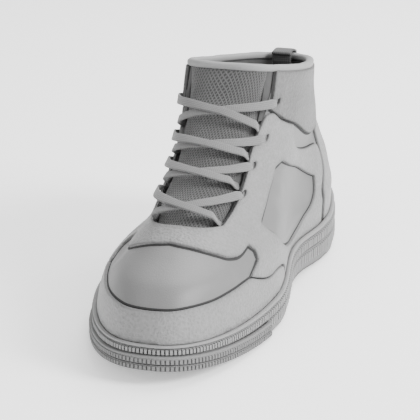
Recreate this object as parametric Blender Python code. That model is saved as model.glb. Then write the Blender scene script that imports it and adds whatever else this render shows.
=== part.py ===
# A mid-top basketball shoe for the right foot, standing empty on its sole.
# Lengths are in metres. The toe points to -Y, the medial side to +X and the collar to +Z.
# A place on the upper is given by its turn and its level. The turn runs round the shoe from
# 0 at the back of the heel, over 0.25 on the medial side and 0.5 at the toe, back to 1.
# The level is 0 at the foot's floor, 0.1 at the lip of the sole and 1 at the collar.

import bmesh
import bpy
import numpy as np
from mathutils.geometry import delaunay_2d_cdt

# Sizes of the sole
LENGTH = 0.300
HEEL_WIDTH = 0.0856
WAIST_WIDTH = 0.0744
BALL_WIDTH = 0.1056
HEEL_STACK = 0.029
WAIST_STACK = 0.021
TOE_STACK = 0.0135
HEEL_FLOOR = 0.019
WAIST_FLOOR = 0.0135
BALL_FLOOR = 0.0093
TOE_SPRING = 0.0078
ARCH_RISE = 0.002
LUG_DEPTH = 0.0015
LUG_GROOVE = 0.0028
OUTSOLE_THICKNESS = 0.0045
CUP_WALL = 0.003
RIB_HEIGHT = 0.0009
RIB_GAP = 0.0030
WRAP_THICKNESS = 0.0018
WRAP_HEIGHT = 0.0084
BLOCK_HEIGHT = 0.0006

# Places along the sole, as shares of the length from the heel
SPRING_START = 0.68
ARCH_MIDDLE = 0.42
ARCH_REACH = 0.14
LIP_PLACES = (0.0, 0.40, 1.0)
FLOOR_PLACES = (0.0, 0.16, 0.42, 0.70, 1.0)
WRAP_START = 0.715
HEEL_LUGS_END = 0.24
FOREFOOT_LUGS = (0.48, 0.95)
LUGS_ACROSS = 3

# Sizes of the upper
COLLAR_BACK = 0.109
COLLAR_SIDE = 0.115
COLLAR_FRONT = 0.126
WALL = 0.002
OVERLAY = 0.0015
CUFF_THICKNESS = 0.0018
INSOLE_THICKNESS = 0.003
TONGUE_THICKNESS = 0.003
ROLL_WIDTH = 0.0072
ROLL_HEIGHT = 0.0052
LACE_WIDTH = 0.0052
LACE_THICKNESS = 0.0014
LACE_LIFT = 0.0022
EYELET_WIDTH = 0.0044
LOOP_WIDTH = 0.012
LOOP_THICKNESS = 0.0014
LOOP_HEIGHT = 0.0030
LOOP_ROUNDING = 0.0012
LOOP_TAIL = 0.0140
# Sideways place of the loop, at the middle of the collar's back
LOOP_PLACE = -0.0035
# Level at which the loop's outer leg ends
LOOP_FOOT = 0.90
# How far the rim curves forward over half the loop's width, as a share of that width
HOLLOW_SHARE = 0.28

# Clearance between pieces that touch
FIT = 0.0003
# Front of the midsole, behind the toe wrap
MIDSOLE_FRONT = LENGTH - WRAP_THICKNESS - FIT - BLOCK_HEIGHT

# Columns of the last's lattice
COLUMNS_EACH_SIDE = 28
COLUMNS = 2 * COLUMNS_EACH_SIDE
OUTLINE_STEPS = 2880
# Rows of the last at the lip of the sole and at the foot of the throat
SEAT_ROW = 1
THROAT_ROW = 5
THROAT_TURN = 0.39
# Seam between two overlays, as a step in level and in turn
SEAM_STEP = 0.004
# Run round and up the shoe near the eyelets for one whole turn and level, and the run once
# round the sole, as shares of the length
TURN_RUN = 1.67
LEVEL_RUN = 0.60
SOLE_RUN = 2.35
# Points of a panel's outline that lie closer than this become one
MERGE = 0.00008
HOLE_CORNERS = 6
LACE_STEPS = 8
# Rise of a crossing's upper bar over its lower one, as a share of the lace's thickness
CROSSING_RISE = 0.55

# Shares of each width that lie on the medial side, and the narrowing to the toe on each side
MEDIAL_SHARE = {"heel": 0.52, "waist": 0.487, "ball": 0.452}
TOE_NARROWING = {"medial": 0.98, "lateral": 0.80}
TIP_SHIFT = 0.058
# Where a ring starts to shift sideways to the toe's tip
SHIFT_START = 0.45
# Powers of the curves round the heel and the toe of the sole
SOLE_ROUNDNESS = (2.5, 2.4)

# The last, a row for each level. Rear and front are shares of the length, set in from the
# ends of the sole's cup. Heights are shares of the way from the sole's lip to the collar.
# Widths are shares of the cup's half widths, roundness is the power of the end curves, and
# shift moves the front sideways as a share of the ball's width.
LAST_COLUMNS = ("level", "rear", "front", "high_rear", "high_waist", "high_front",
                "in_heel", "in_waist", "in_ball", "out_heel", "out_waist", "out_ball",
                "round_rear", "round_front", "toe_in", "toe_out", "shift")
LAST = (
    (0.00, 0.005, 0.008, 0.00, 0.00, 0.00, 0.95, 0.96, 0.95, 0.95, 0.96, 0.95, 2.5, 2.4, 0.98, 0.80, 0.058),
    (0.10, 0.000, 0.000, 0.00, 0.00, 0.00, 1.00, 1.00, 1.00, 1.00, 1.00, 1.00, 2.5, 2.4, 0.98, 0.80, 0.058),
    (0.17, 0.000, 0.018, 0.14, 0.13, 0.16, 1.00, 1.02, 0.98, 1.00, 0.98, 0.92, 2.5, 2.5, 0.98, 0.85, 0.055),
    (0.24, 0.002, 0.042, 0.23, 0.20, 0.24, 0.95, 0.98, 0.95, 0.98, 0.95, 0.82, 2.5, 2.5, 0.99, 0.90, 0.047),
    (0.34, 0.009, 0.118, 0.36, 0.29, 0.32, 0.87, 0.93, 0.87, 0.94, 0.92, 0.66, 2.5, 2.4, 1.00, 1.00, 0.032),
    (0.44, 0.019, 0.200, 0.48, 0.39, 0.40, 0.77, 0.88, 0.78, 0.90, 0.90, 0.56, 2.4, 2.3, 1.00, 1.00, 0.008),
    (0.55, 0.031, 0.280, 0.60, 0.50, 0.50, 0.67, 0.84, 0.70, 0.86, 0.88, 0.55, 2.4, 2.3, 1.00, 1.00, -0.012),
    (0.66, 0.040, 0.358, 0.70, 0.62, 0.61, 0.62, 0.81, 0.64, 0.82, 0.87, 0.56, 2.4, 2.3, 1.00, 1.00, -0.020),
    (0.77, 0.047, 0.432, 0.81, 0.75, 0.74, 0.59, 0.78, 0.61, 0.80, 0.89, 0.59, 2.4, 2.5, 1.00, 1.00, -0.028),
    (0.88, 0.050, 0.495, 0.91, 0.88, 0.88, 0.57, 0.77, 0.61, 0.79, 0.92, 0.65, 2.3, 2.8, 1.00, 1.00, -0.028),
    (1.00, 0.052, 0.535, 1.00, 1.00, 1.00, 0.57, 0.77, 0.61, 0.80, 0.94, 0.67, 2.2, 3.0, 1.00, 1.00, -0.028),
)
LEVELS = [row[0] for row in LAST]
SEAT_LEVEL = LEVELS[SEAT_ROW]
# Lowest level of the overlays, at the lip
OVERLAY_BASE = SEAT_LEVEL
# Where the heel, waist, ball and toe lie along a ring
WIDTH_PLACES = (0.0, 0.19, 0.42, 0.68, 1.0)
HEIGHT_PLACES = (0.0, 0.42, 1.0)

# Side of the midsole, a row for each edge: height as a share of the side, and depth in
# shares of the rib height, outward
SIDE = (
    (0.00, 0.0),
    (0.42, 0.0),
    (0.445, -0.8),
    (0.47, 0.0),
    (0.80, 0.0),
    (0.83, -0.8),
    (0.86, 0.5),
    (0.97, 0.5),
    (1.00, -0.4),
)
RIBBED_ROWS = (0, 3)
# Edges of the toe wrap's rows, as shares of its height, and the rows that carry blocks
WRAP_EDGES = (0.06, 0.44, 0.50, 0.86, 1.0)
BLOCK_ROWS = (0, 2)

# Outlines on the medial side, as turn and level. The lateral side mirrors them.
TOE_BOX_EDGE = ((0.50, 0.383), (0.456, 0.367), (0.419, 0.341), (0.392, 0.317), (0.374, 0.317),
                (0.362, 0.342), (0.346, 0.300), (0.340, 0.262), (0.352, 0.210))
MUDGUARD_SEAM = ((0.320, 0.166), (0.298, 0.166), (0.277, 0.137), (0.268, OVERLAY_BASE))
MUDGUARD_TOP = ((0.379, 0.194), (0.406, 0.181), (0.438, 0.174), (0.467, 0.168), (0.50, 0.166))
QUARTER_REAR = ((0.172, OVERLAY_BASE), (0.170, 0.225), (0.158, 0.325), (0.152, 0.435), (0.158, 0.490))
QUARTER_TOP = ((0.272, 0.695), (0.281, 0.746), (0.335, 0.789), (0.372, 0.818), (0.384, 0.812),
               (0.390, 0.713))
THROAT_EDGE = ((0.390, 0.550), (0.400, 0.485), (0.414, 0.434), (0.45, 0.436), (0.50, 0.440))
WINDOW = ((0.301, 0.613), (0.231, 0.490), (0.181, 0.352), (0.185, 0.240), (0.202, 0.175),
          (0.236, 0.138), (0.256, 0.160), (0.310, 0.322), (0.341, 0.400), (0.330, 0.490), (0.320, 0.600))
COUNTER = ((0.166, OVERLAY_BASE), (0.164, 0.225), (0.152, 0.325), (0.146, 0.435), (0.142, 0.555),
           (0.0, 0.590))
CUFF = ((0.0, 0.600), (0.146, 0.570), (0.281, 0.754), (0.335, 0.797), (0.378, 0.832),
        (0.392, 1.0), (0.20, 1.0), (0.0, 1.0))
EYELETS = ((0.384, 0.538), (0.375, 0.638), (0.361, 0.730), (0.362, 0.858))
# Where the lace comes out from under the edge of the throat
LACE_EXITS = ((0.419, 0.450), (0.401, 0.578), (0.388, 0.676), (0.383, 0.768))

# Rounded section of the collar roll, as shares of its width and height
ROLL_SECTION = ((0.5, 0.25), (0.48, 0.68), (0.20, 1.0), (-0.24, 0.96),
                (-0.5, 0.55), (-0.38, 0.0), (0.36, 0.0))


def smooth(places, values, at):
    """Curve through the values that never overshoots them."""
    x = np.asarray(places, float)
    y = np.asarray(values, float)
    step = np.diff(x)
    slope = np.diff(y) / step
    tangent = np.zeros_like(y)
    for i in range(1, len(x) - 1):
        if slope[i - 1] * slope[i] > 0:
            before = 2 * step[i] + step[i - 1]
            after = step[i] + 2 * step[i - 1]
            tangent[i] = (before + after) / (before / slope[i - 1] + after / slope[i])
    tangent[0] = slope[0]
    tangent[-1] = slope[-1]
    at = np.clip(np.asarray(at, float), x[0], x[-1])
    i = np.clip(np.searchsorted(x, at, side="right") - 1, 0, len(x) - 2)
    h = step[i]
    w = (at - x[i]) / h
    return ((2 * w**3 - 3 * w**2 + 1) * y[i] + (w**3 - 2 * w**2 + w) * h * tangent[i]
            + (3 * w**2 - 2 * w**3) * y[i + 1] + (w**3 - w**2) * h * tangent[i + 1])


def rise(station):
    """Height of the tread over the floor, for the toe spring and the arch."""
    share = np.asarray(station, float) / LENGTH
    toe = TOE_SPRING * np.clip((share - SPRING_START) / (1 - SPRING_START), 0, 1) ** 2
    arch = ARCH_RISE * np.clip(1 - ((share - ARCH_MIDDLE) / ARCH_REACH) ** 2, 0, 1) ** 2
    return toe + arch


def lip(station):
    """Height of the sole's lip."""
    stack = smooth(LIP_PLACES, (HEEL_STACK, WAIST_STACK, TOE_STACK), np.asarray(station) / LENGTH)
    return stack + rise(station)


def foot_floor(station):
    """Height of the cup's floor under the foot."""
    heights = (HEEL_FLOOR, HEEL_FLOOR, WAIST_FLOOR, BALL_FLOOR, BALL_FLOOR)
    floor = smooth(FLOOR_PLACES, heights, np.asarray(station) / LENGTH)
    return floor + rise(station)


def half_widths(inset):
    """Half widths of the sole at heel, waist and ball on each side, less an inset."""
    full = {"heel": HEEL_WIDTH, "waist": WAIST_WIDTH, "ball": BALL_WIDTH}
    medial = [full[k] * MEDIAL_SHARE[k] - inset for k in full]
    lateral = [full[k] * (1 - MEDIAL_SHARE[k]) - inset for k in full]
    return medial, lateral


def ring_plan(turn, rear, front, medial, lateral, powers, narrowing, shift):
    """Plan of a closed ring: sideways place and distance from the heel, at each turn."""
    turn = np.asarray(turn, float) % 1.0
    along = (1 - np.cos(2 * np.pi * turn)) / 2
    sides = []
    for (heel, waist, ball), narrow in zip((medial, lateral), narrowing):
        sides.append(smooth(WIDTH_PLACES, (heel, heel, waist, ball, ball * narrow), along))
    is_medial = turn <= 0.5
    width = np.where(is_medial, sides[0], sides[1])
    power = np.where(along < 0.5, powers[0], powers[1])
    bulge = np.maximum(1 - np.abs(2 * along - 1) ** power, 0) ** (1 / power)
    sideways = width * bulge * np.where(is_medial, 1, -1)
    sideways += shift * np.clip((along - SHIFT_START) / (1 - SHIFT_START), 0, 1) ** 2
    return sideways, rear + (front - rear) * along


def sole_plan(turn, out=0.0):
    """Outline of the midsole's side, moved outward."""
    medial, lateral = half_widths(0.0)
    narrowing = (TOE_NARROWING["medial"], TOE_NARROWING["lateral"])
    shift = TIP_SHIFT * BALL_WIDTH
    x, s = ring_plan(turn, 0.0, MIDSOLE_FRONT, medial, lateral, SOLE_ROUNDNESS, narrowing, shift)
    nx, ns = plan_normals(x, s)
    return x + nx * out, s + ns * out


def plan_normals(x, s):
    """Outward directions along a closed ring, seen from above."""
    dx = np.roll(x, -1) - np.roll(x, 1)
    ds = np.roll(s, -1) - np.roll(s, 1)
    size = np.hypot(dx, ds)
    return ds / size, -dx / size


def last_value(name, level):
    """One column of the last's table, at a level."""
    column = LAST_COLUMNS.index(name)
    return float(smooth(LEVELS, [row[column] for row in LAST], level))


def last_ring(turn, level):
    """Outer face of the upper at one level, before the wall and the overlays."""
    inset = CUP_WALL + FIT
    medial, lateral = half_widths(inset)
    medial = [w * last_value(n, level) for w, n in zip(medial, ("in_heel", "in_waist", "in_ball"))]
    lateral = [w * last_value(n, level) for w, n in zip(lateral, ("out_heel", "out_waist", "out_ball"))]
    rear = inset + last_value("rear", level) * LENGTH
    front_of_cup = MIDSOLE_FRONT - inset
    front = front_of_cup - last_value("front", level) * LENGTH
    powers = (last_value("round_rear", level), last_value("round_front", level))
    narrowing = (last_value("toe_in", level), last_value("toe_out", level))
    shift = last_value("shift", level) * BALL_WIDTH
    x, s = ring_plan(turn, rear, front, medial, lateral, powers, narrowing, shift)
    along = (1 - np.cos(2 * np.pi * (np.asarray(turn) % 1.0))) / 2
    seat = lip(inset + (front_of_cup - inset) * along)
    if level < SEAT_LEVEL:
        low = foot_floor(s) + FIT
        z = low + (seat - low) * level / SEAT_LEVEL
    else:
        heights = [last_value(n, level) for n in ("high_rear", "high_waist", "high_front")]
        collar = smooth(HEIGHT_PLACES, (COLLAR_BACK, COLLAR_SIDE, COLLAR_FRONT), along)
        z = seat + smooth(HEIGHT_PLACES, heights, along) * (collar - seat)
    return np.stack([x, LENGTH / 2 - s, z], axis=-1)


def even_turns():
    """Turns of the columns, at even steps round the sole and the same for every piece."""
    fine = np.linspace(0, 1, OUTLINE_STEPS + 1)
    x, s = sole_plan(fine[:-1])
    x = np.append(x, x[0])
    s = np.append(s, s[0])
    run = np.concatenate([[0], np.cumsum(np.hypot(np.diff(x), np.diff(s)))])
    middle = OUTLINE_STEPS // 2
    steps = COLUMNS_EACH_SIDE + 1
    medial = np.interp(np.linspace(0, run[middle], steps), run[:middle + 1], fine[:middle + 1])
    lateral = np.interp(np.linspace(run[middle], run[-1], steps), run[middle:], fine[middle:])
    return np.concatenate([medial[:-1], lateral[:-1]])


TURNS = even_turns()
THROAT_COLUMN = int(np.argmin(np.abs(TURNS[:COLUMNS_EACH_SIDE] - THROAT_TURN)))


def last_lattice():
    """Points and outward normals of the last at every column and level."""
    points = np.array([last_ring(TURNS, level) for level in LEVELS])
    round_step = np.roll(points, -1, axis=1) - np.roll(points, 1, axis=1)
    up_step = np.gradient(points, axis=0)
    normals = np.cross(round_step, up_step)
    normals /= np.linalg.norm(normals, axis=2, keepdims=True)
    # The seat in the cup and the rim are set off sideways only
    seat_rows = SEAT_ROW + 1
    outward = np.sign((normals[-1, :, 0] * (points[-1, :, 0] - points[-1, :, 0].mean())).sum())
    normals[seat_rows:] *= outward
    for row in list(range(seat_rows)) + [len(LEVELS) - 1]:
        nx, ns = plan_normals(points[row, :, 0], LENGTH / 2 - points[row, :, 1])
        normals[row] = np.stack([nx, -ns, np.zeros_like(nx)], axis=-1)
    return points, normals


POINTS, NORMALS = last_lattice()


def cell_triangles(column, row):
    """The two triangles of one cell of the lattice, as column and row pairs."""
    a = (column, row)
    b = (column + 1, row)
    c = (column + 1, row + 1)
    d = (column, row + 1)
    return (a, b, c), (a, c, d)


def place_on_upper(column, level):
    """Point and normal on the upper's own facets, at a column and level between the lattice's."""
    row = int(np.clip(np.searchsorted(LEVELS, level, side="right") - 1, 0, len(LEVELS) - 2))
    first = int(np.floor(column))
    across = column - first
    up = (level - LEVELS[row]) / (LEVELS[row + 1] - LEVELS[row])
    up = min(max(up, 0.0), 1.0)
    corners = [(first, row), (first + 1, row), (first + 1, row + 1), (first, row + 1)]
    shares = [1 - across, across - up, up, 0.0] if across >= up else [1 - up, 0.0, across, up - across]
    point = np.zeros(3)
    normal = np.zeros(3)
    for (c, r), share in zip(corners, shares):
        point += share * POINTS[r, c % COLUMNS]
        normal += share * NORMALS[r, c % COLUMNS]
    return point, normal


def column_at(turn):
    """Column of the lattice at a turn, which may lie below 0 for the lateral side of the heel."""
    whole = np.floor(turn)
    turns = np.append(TURNS, 1.0)
    return float(np.interp(turn - whole, turns, np.arange(COLUMNS + 1)) + whole * COLUMNS)


def make_material(name, grey, roughness):
    material = bpy.data.materials.new(name)
    material.use_nodes = True
    shader = material.node_tree.nodes["Principled BSDF"]
    shader.inputs["Base Color"].default_value = (grey, grey, grey, 1.0)
    shader.inputs["Roughness"].default_value = roughness
    shader.inputs["Metallic"].default_value = 0.0
    return material


def add_object(name, vertices, faces, material, collection):
    """Closed mesh object with outward normals and smooth shading."""
    mesh = bpy.data.meshes.new(name)
    mesh.from_pydata([tuple(float(c) for c in v) for v in vertices], [], [list(map(int, f)) for f in faces])
    body = bmesh.new()
    body.from_mesh(mesh)
    bmesh.ops.recalc_face_normals(body, faces=body.faces)
    for face in body.faces:
        face.smooth = True
    body.to_mesh(mesh)
    body.free()
    mesh.materials.append(material)
    thing = bpy.data.objects.new(name, mesh)
    collection.objects.link(thing)
    return thing


def solid_between(outer, inner, triangles):
    """Vertices and faces of the closed solid between two matching skins."""
    used = sorted({i for tri in triangles for i in tri})
    number = {old: new for new, old in enumerate(used)}
    count = len(used)
    skin = [tuple(number[i] for i in tri) for tri in triangles]
    vertices = [outer[i] for i in used] + [inner[i] for i in used]
    faces = list(skin) + [tuple(i + count for i in reversed(tri)) for tri in skin]
    edges = {(tri[i], tri[(i + 1) % 3]) for tri in skin for i in range(3)}
    for a, b in sorted(edges):
        if (b, a) not in edges:
            faces.append((b, a, a + count, b + count))
    return vertices, faces


def build_upper(material, collection):
    """Hollow shell on the last, open at the collar, at the throat and underneath."""
    rows = len(LEVELS)
    outer = POINTS.reshape(-1, 3)
    inner = (POINTS - NORMALS * WALL).reshape(-1, 3)
    triangles = []
    for row in range(rows - 1):
        for column in range(COLUMNS):
            in_throat = THROAT_COLUMN <= column < COLUMNS - THROAT_COLUMN
            if in_throat and row >= THROAT_ROW:
                continue
            for tri in cell_triangles(column, row):
                triangles.append(tuple(r * COLUMNS + c % COLUMNS for c, r in tri))
    vertices, faces = solid_between(outer, inner, triangles)
    return add_object("upper", vertices, faces, material, collection)


def inside(point, loop):
    """Whether a point lies within a closed outline."""
    x, y = point
    within = False
    for (x0, y0), (x1, y1) in zip(loop, loop[1:] + loop[:1]):
        if (y0 > y) != (y1 > y) and x < x0 + (y - y0) * (x1 - x0) / (y1 - y0):
            within = not within
    return within


def build_panel(name, outline, holes, thickness, material, collection):
    """Overlay cut from the room between two offsets of the upper's outer face."""
    column_pitch = LENGTH * SOLE_RUN / COLUMNS
    level_pitch = COLLAR_SIDE
    loops = []
    for loop in [outline] + holes:
        loops.append([(column_at(turn) * column_pitch, level * level_pitch) for turn, level in loop])
    points = []
    edges = []
    first = int(np.floor(min(x for x, _ in loops[0]) / column_pitch))
    last = int(np.ceil(max(x for x, _ in loops[0]) / column_pitch))
    number = {}
    for column in range(first, last + 1):
        for row, level in enumerate(LEVELS):
            number[column, row] = len(points)
            points.append((column * column_pitch, level * level_pitch))
    for column in range(first, last):
        for row in range(len(LEVELS) - 1):
            for tri in cell_triangles(column, row):
                for i in range(3):
                    edges.append((number[tri[i]], number[tri[(i + 1) % 3]]))
    for loop in loops:
        start = len(points)
        points.extend(loop)
        edges.extend((start + i, start + (i + 1) % len(loop)) for i in range(len(loop)))
    flat, _, cells, _, _, _ = delaunay_2d_cdt(points, edges, [], 0, MERGE)
    flat = [(p[0], p[1]) for p in flat]
    triangles = []
    for cell in cells:
        middle = (sum(flat[i][0] for i in cell) / 3, sum(flat[i][1] for i in cell) / 3)
        if inside(middle, loops[0]) and not any(inside(middle, hole) for hole in loops[1:]):
            triangles.append(tuple(cell))
    outer = []
    inner = []
    for x, y in flat:
        point, normal = place_on_upper(x / column_pitch, y / level_pitch)
        outer.append(point + normal * (FIT + thickness))
        inner.append(point + normal * FIT)
    vertices, faces = solid_between(outer, inner, triangles)
    return add_object(name, vertices, faces, material, collection)


def mirrored(points):
    """The same outline on the lateral side, in reverse order."""
    return tuple((1 - turn, level) for turn, level in reversed(points))


def both_sides(points):
    """An outline that runs from the medial side to the front, carried on to the lateral side."""
    return tuple(points) + mirrored(points[:-1])


def round_hole(turn, level, width):
    """Small hole on the upper, for a punched eyelet."""
    along = width / (2 * TURN_RUN * LENGTH)
    up = width / (2 * LEVEL_RUN * LENGTH)
    step = 2 * np.pi / HOLE_CORNERS
    angles = [step * (i + 0.3) for i in range(HOLE_CORNERS)]
    return [(turn + along * float(np.cos(a)), level + up * float(np.sin(a))) for a in angles]


def build_overlays(leather, collection):
    """Mudguard, quarter with its eyestay and apron, heel counter and ankle cuff."""
    seam = MUDGUARD_SEAM
    guard_top = both_sides((TOE_BOX_EDGE[-1],) + MUDGUARD_TOP)
    shrink = SEAM_STEP
    guard = [(t, l - shrink) for t, l in seam[:-1]][::-1]
    guard = [(seam[-1][0] + shrink, seam[-1][1])] + guard + [(t, l - shrink) for t, l in guard_top]
    guard += [(1 - t, l - shrink) for t, l in seam[:-1]] + [(1 - seam[-1][0] - shrink, seam[-1][1])]
    build_panel("mudguard", guard, [], OVERLAY, leather, collection)

    front = both_sides(TOE_BOX_EDGE[::-1])
    lower = seam[::-1]
    rear = QUARTER_REAR[::-1]
    throat = both_sides(THROAT_EDGE)
    outline = list(front)
    outline += [(1 - t, l) for t, l in seam]
    outline += [(1 - t, l) for t, l in QUARTER_REAR] + [(1 - t, l) for t, l in QUARTER_TOP]
    outline += list(throat)[::-1]
    outline += list(QUARTER_TOP)[::-1] + list(rear) + list(lower)
    holes = [list(WINDOW), list(mirrored(WINDOW))]
    for turn, level in EYELETS[:-1]:
        holes.append(round_hole(turn, level, EYELET_WIDTH))
        holes.append(round_hole(1 - turn, level, EYELET_WIDTH))
    build_panel("quarter_overlay", outline, holes, OVERLAY, leather, collection)

    counter = list(COUNTER) + [(-t, l) for t, l in reversed(COUNTER[:-1])] + [(0.0, COUNTER[0][1])]
    build_panel("heel_counter", counter, [], OVERLAY, leather, collection)

    cuff = list(CUFF) + [(-t, l) for t, l in reversed(CUFF[1:-1])]
    turn, level = EYELETS[-1]
    holes = [round_hole(turn, level, EYELET_WIDTH), round_hole(-turn, level, EYELET_WIDTH)]
    build_panel("ankle_cuff", cuff, holes, CUFF_THICKNESS, leather, collection)


def build_tongue(material, collection):
    """Padded tongue, under the edges of the throat and flush with the upper between them."""
    first = THROAT_COLUMN - 2
    last = COLUMNS - first
    low_row = THROAT_ROW - 1
    outer = []
    inner = []
    columns = list(range(first, last + 1))
    rows = list(range(low_row, len(LEVELS)))
    under = WALL + FIT
    for row in rows:
        for column in columns:
            in_opening = THROAT_COLUMN < column < COLUMNS - THROAT_COLUMN and row > THROAT_ROW
            depth = 0.0 if in_opening else under
            outer.append(POINTS[row, column] - NORMALS[row, column] * depth)
            inner.append(POINTS[row, column] - NORMALS[row, column] * (under + TONGUE_THICKNESS))
    wide = len(columns)
    triangles = []
    for row in range(len(rows) - 1):
        for column in range(wide - 1):
            for tri in cell_triangles(column, row):
                triangles.append(tuple(r * wide + c for c, r in tri))
    vertices, faces = solid_between(outer, inner, triangles)
    return add_object("tongue", vertices, faces, material, collection)


def slab(name, low, high, material, collection):
    """Closed plate between two rings with matching columns."""
    count = len(low)
    half = count // 2
    faces = []
    for i in range(count):
        j = (i + 1) % count
        faces.append((i, j, j + count, i + count))
    for base in (0, count):
        faces.append((base, base + 1, base + count - 1))
        faces.append((base + half - 1, base + half, base + half + 1))
        for i in range(1, half - 1):
            faces.append((base + i, base + i + 1, base + count - i - 1, base + count - i))
    return add_object(name, list(low) + list(high), faces, material, collection)


def build_insole(material, collection):
    """Footbed on the cup's floor, inside the upper."""
    low = POINTS[0] - NORMALS[0] * (WALL + FIT)
    high = low + np.array([0.0, 0.0, INSOLE_THICKNESS])
    return slab("insole", low, high, material, collection)


def build_midsole(material, collection):
    """Cup of the sole, with its lip, two ribbed bands and the grooves between them."""
    rings = []
    for height, out in SIDE:
        x, s = sole_plan(TURNS, out * RIB_HEIGHT)
        low = rise(s) + OUTSOLE_THICKNESS + FIT
        z = low + (lip(s) - FIT - low) * height
        rings.append(np.stack([x, LENGTH / 2 - s, z], axis=-1))
    seat = POINTS[SEAT_ROW] + NORMALS[SEAT_ROW] * FIT
    seat[:, 2] -= FIT
    rings.append(seat)
    cup = POINTS[0] + NORMALS[0] * FIT
    cup[:, 2] = POINTS[0, :, 2] - FIT
    rings.append(cup)
    vertices = np.concatenate(rings)
    wrapped = set(wrap_columns())
    faces = []
    ribs = []
    for row in range(len(rings) - 1):
        for i in range(COLUMNS):
            j = (i + 1) % COLUMNS
            behind_wrap = row == 0 and {i, j} & wrapped
            if row in RIBBED_ROWS and not behind_wrap:
                ribs.append(len(faces))
            low = row * COLUMNS
            faces.append((low + i, low + j, low + COLUMNS + j, low + COLUMNS + i))
    half = COLUMNS_EACH_SIDE
    for base in (0, (len(rings) - 1) * COLUMNS):
        faces.append((base, base + 1, base + COLUMNS - 1))
        faces.append((base + half - 1, base + half, base + half + 1))
        for i in range(1, half - 1):
            faces.append((base + i, base + i + 1, base + COLUMNS - i - 1, base + COLUMNS - i))
    thing = add_object("midsole", vertices, faces, material, collection)
    raise_pads(thing, ribs, RIB_GAP / 2, RIB_HEIGHT)
    return thing


def raise_pads(thing, indices, margin, height):
    """Raise a sloped pad on each of the named faces."""
    body = bmesh.new()
    body.from_mesh(thing.data)
    body.faces.ensure_lookup_table()
    chosen = [body.faces[i] for i in indices]
    bmesh.ops.inset_individual(body, faces=chosen, thickness=margin, depth=height, use_even_offset=True)
    body.to_mesh(thing.data)
    body.free()


def wrap_columns():
    """Columns that the toe wrap covers, from ball to ball."""
    x, s = sole_plan(TURNS)
    return [i for i in range(COLUMNS) if s[i] > WRAP_START * LENGTH]


def build_toe_wrap(material, collection):
    """Rubber wrap round the toe, with two rows of small blocks."""
    columns = wrap_columns()
    near = sole_plan(TURNS, FIT)
    far = sole_plan(TURNS, FIT + WRAP_THICKNESS)
    outer = []
    inner = []
    for height in WRAP_EDGES:
        for i in columns:
            z = float(rise(near[1][i])) + WRAP_HEIGHT * height
            outer.append((far[0][i], LENGTH / 2 - far[1][i], z))
            inner.append((near[0][i], LENGTH / 2 - near[1][i], z))
    wide = len(columns)
    count = len(outer)
    faces = []
    blocks = []
    for row in range(len(WRAP_EDGES) - 1):
        for i in range(wide - 1):
            a = row * wide + i
            if row in BLOCK_ROWS:
                blocks.append(len(faces))
            faces.append((a, a + 1, a + 1 + wide, a + wide))
            faces.append((a + wide + count, a + 1 + wide + count, a + 1 + count, a + count))
    for i in range(wide - 1):
        top = (len(WRAP_EDGES) - 1) * wide + i
        faces.append((i + 1, i, i + count, i + 1 + count))
        faces.append((top, top + 1, top + 1 + count, top + count))
    for row in range(len(WRAP_EDGES) - 1):
        a = row * wide
        b = a + wide - 1
        faces.append((a, a + wide, a + wide + count, a + count))
        faces.append((b + wide, b, b + count, b + wide + count))
    thing = add_object("toe_wrap", outer + inner, faces, material, collection)
    raise_pads(thing, blocks, LUG_GROOVE / 4, BLOCK_HEIGHT)
    return thing


def build_outsole(material, collection):
    """Tread rubber under the midsole, with lugs under the heel and the forefoot."""
    across = LUGS_ACROSS
    half = COLUMNS_EACH_SIDE
    x, s = sole_plan(TURNS)
    vertices = []
    top = rise(s) + OUTSOLE_THICKNESS
    bottom = rise(s) + LUG_DEPTH
    vertices += [(x[i], LENGTH / 2 - s[i], top[i]) for i in range(COLUMNS)]
    vertices += [(x[i], LENGTH / 2 - s[i], bottom[i]) for i in range(COLUMNS)]
    inner = {}
    for k in range(1, half):
        for j in range(1, across):
            w = j / across
            a = np.array(vertices[COLUMNS + k])
            b = np.array(vertices[2 * COLUMNS - k])
            inner[k, j] = len(vertices)
            vertices.append(tuple(a + (b - a) * w))

    def place(k, j):
        if k == 0 or k == half:
            return COLUMNS + k
        if j == 0:
            return COLUMNS + k
        if j == across:
            return 2 * COLUMNS - k
        return inner[k, j]

    faces = []
    lugs = []
    for i in range(COLUMNS):
        j = (i + 1) % COLUMNS
        faces.append((i, j, j + COLUMNS, i + COLUMNS))
    faces.append((0, 1, COLUMNS - 1))
    faces.append((half - 1, half, half + 1))
    for i in range(1, half - 1):
        faces.append((i, i + 1, COLUMNS - i - 1, COLUMNS - i))
    for k in range(half):
        for j in range(across):
            corners = [place(k, j), place(k + 1, j), place(k + 1, j + 1), place(k, j + 1)]
            corners = list(dict.fromkeys(corners))
            share = s[k] / LENGTH
            on_lugs = share < HEEL_LUGS_END or FOREFOOT_LUGS[0] < share < FOREFOOT_LUGS[1]
            if len(corners) == 4 and on_lugs:
                lugs.append(len(faces))
            faces.append(tuple(corners))
    thing = add_object("outsole", vertices, faces, material, collection)
    raise_pads(thing, lugs, LUG_GROOVE / 2, LUG_DEPTH)
    return thing


def build_roll(material, collection):
    """Padded roll round the rim, over the upper and the tongue."""
    columns = range(0, COLUMNS, 2)
    vertices = []
    for column in columns:
        point = POINTS[-1, column]
        normal = NORMALS[-1, column] * np.array([1.0, 1.0, 0.0])
        normal = normal / np.linalg.norm(normal)
        centre = point - normal * ROLL_WIDTH / 2
        for out, up in ROLL_SECTION:
            vertices.append(centre + normal * out * ROLL_WIDTH + np.array([0, 0, FIT + up * ROLL_HEIGHT]))
    size = len(ROLL_SECTION)
    faces = []
    for i in range(len(columns)):
        n = (i + 1) % len(columns)
        for j in range(size):
            m = (j + 1) % size
            faces.append((i * size + j, n * size + j, n * size + m, i * size + m))
    return add_object("collar_roll", vertices, faces, material, collection)


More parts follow.
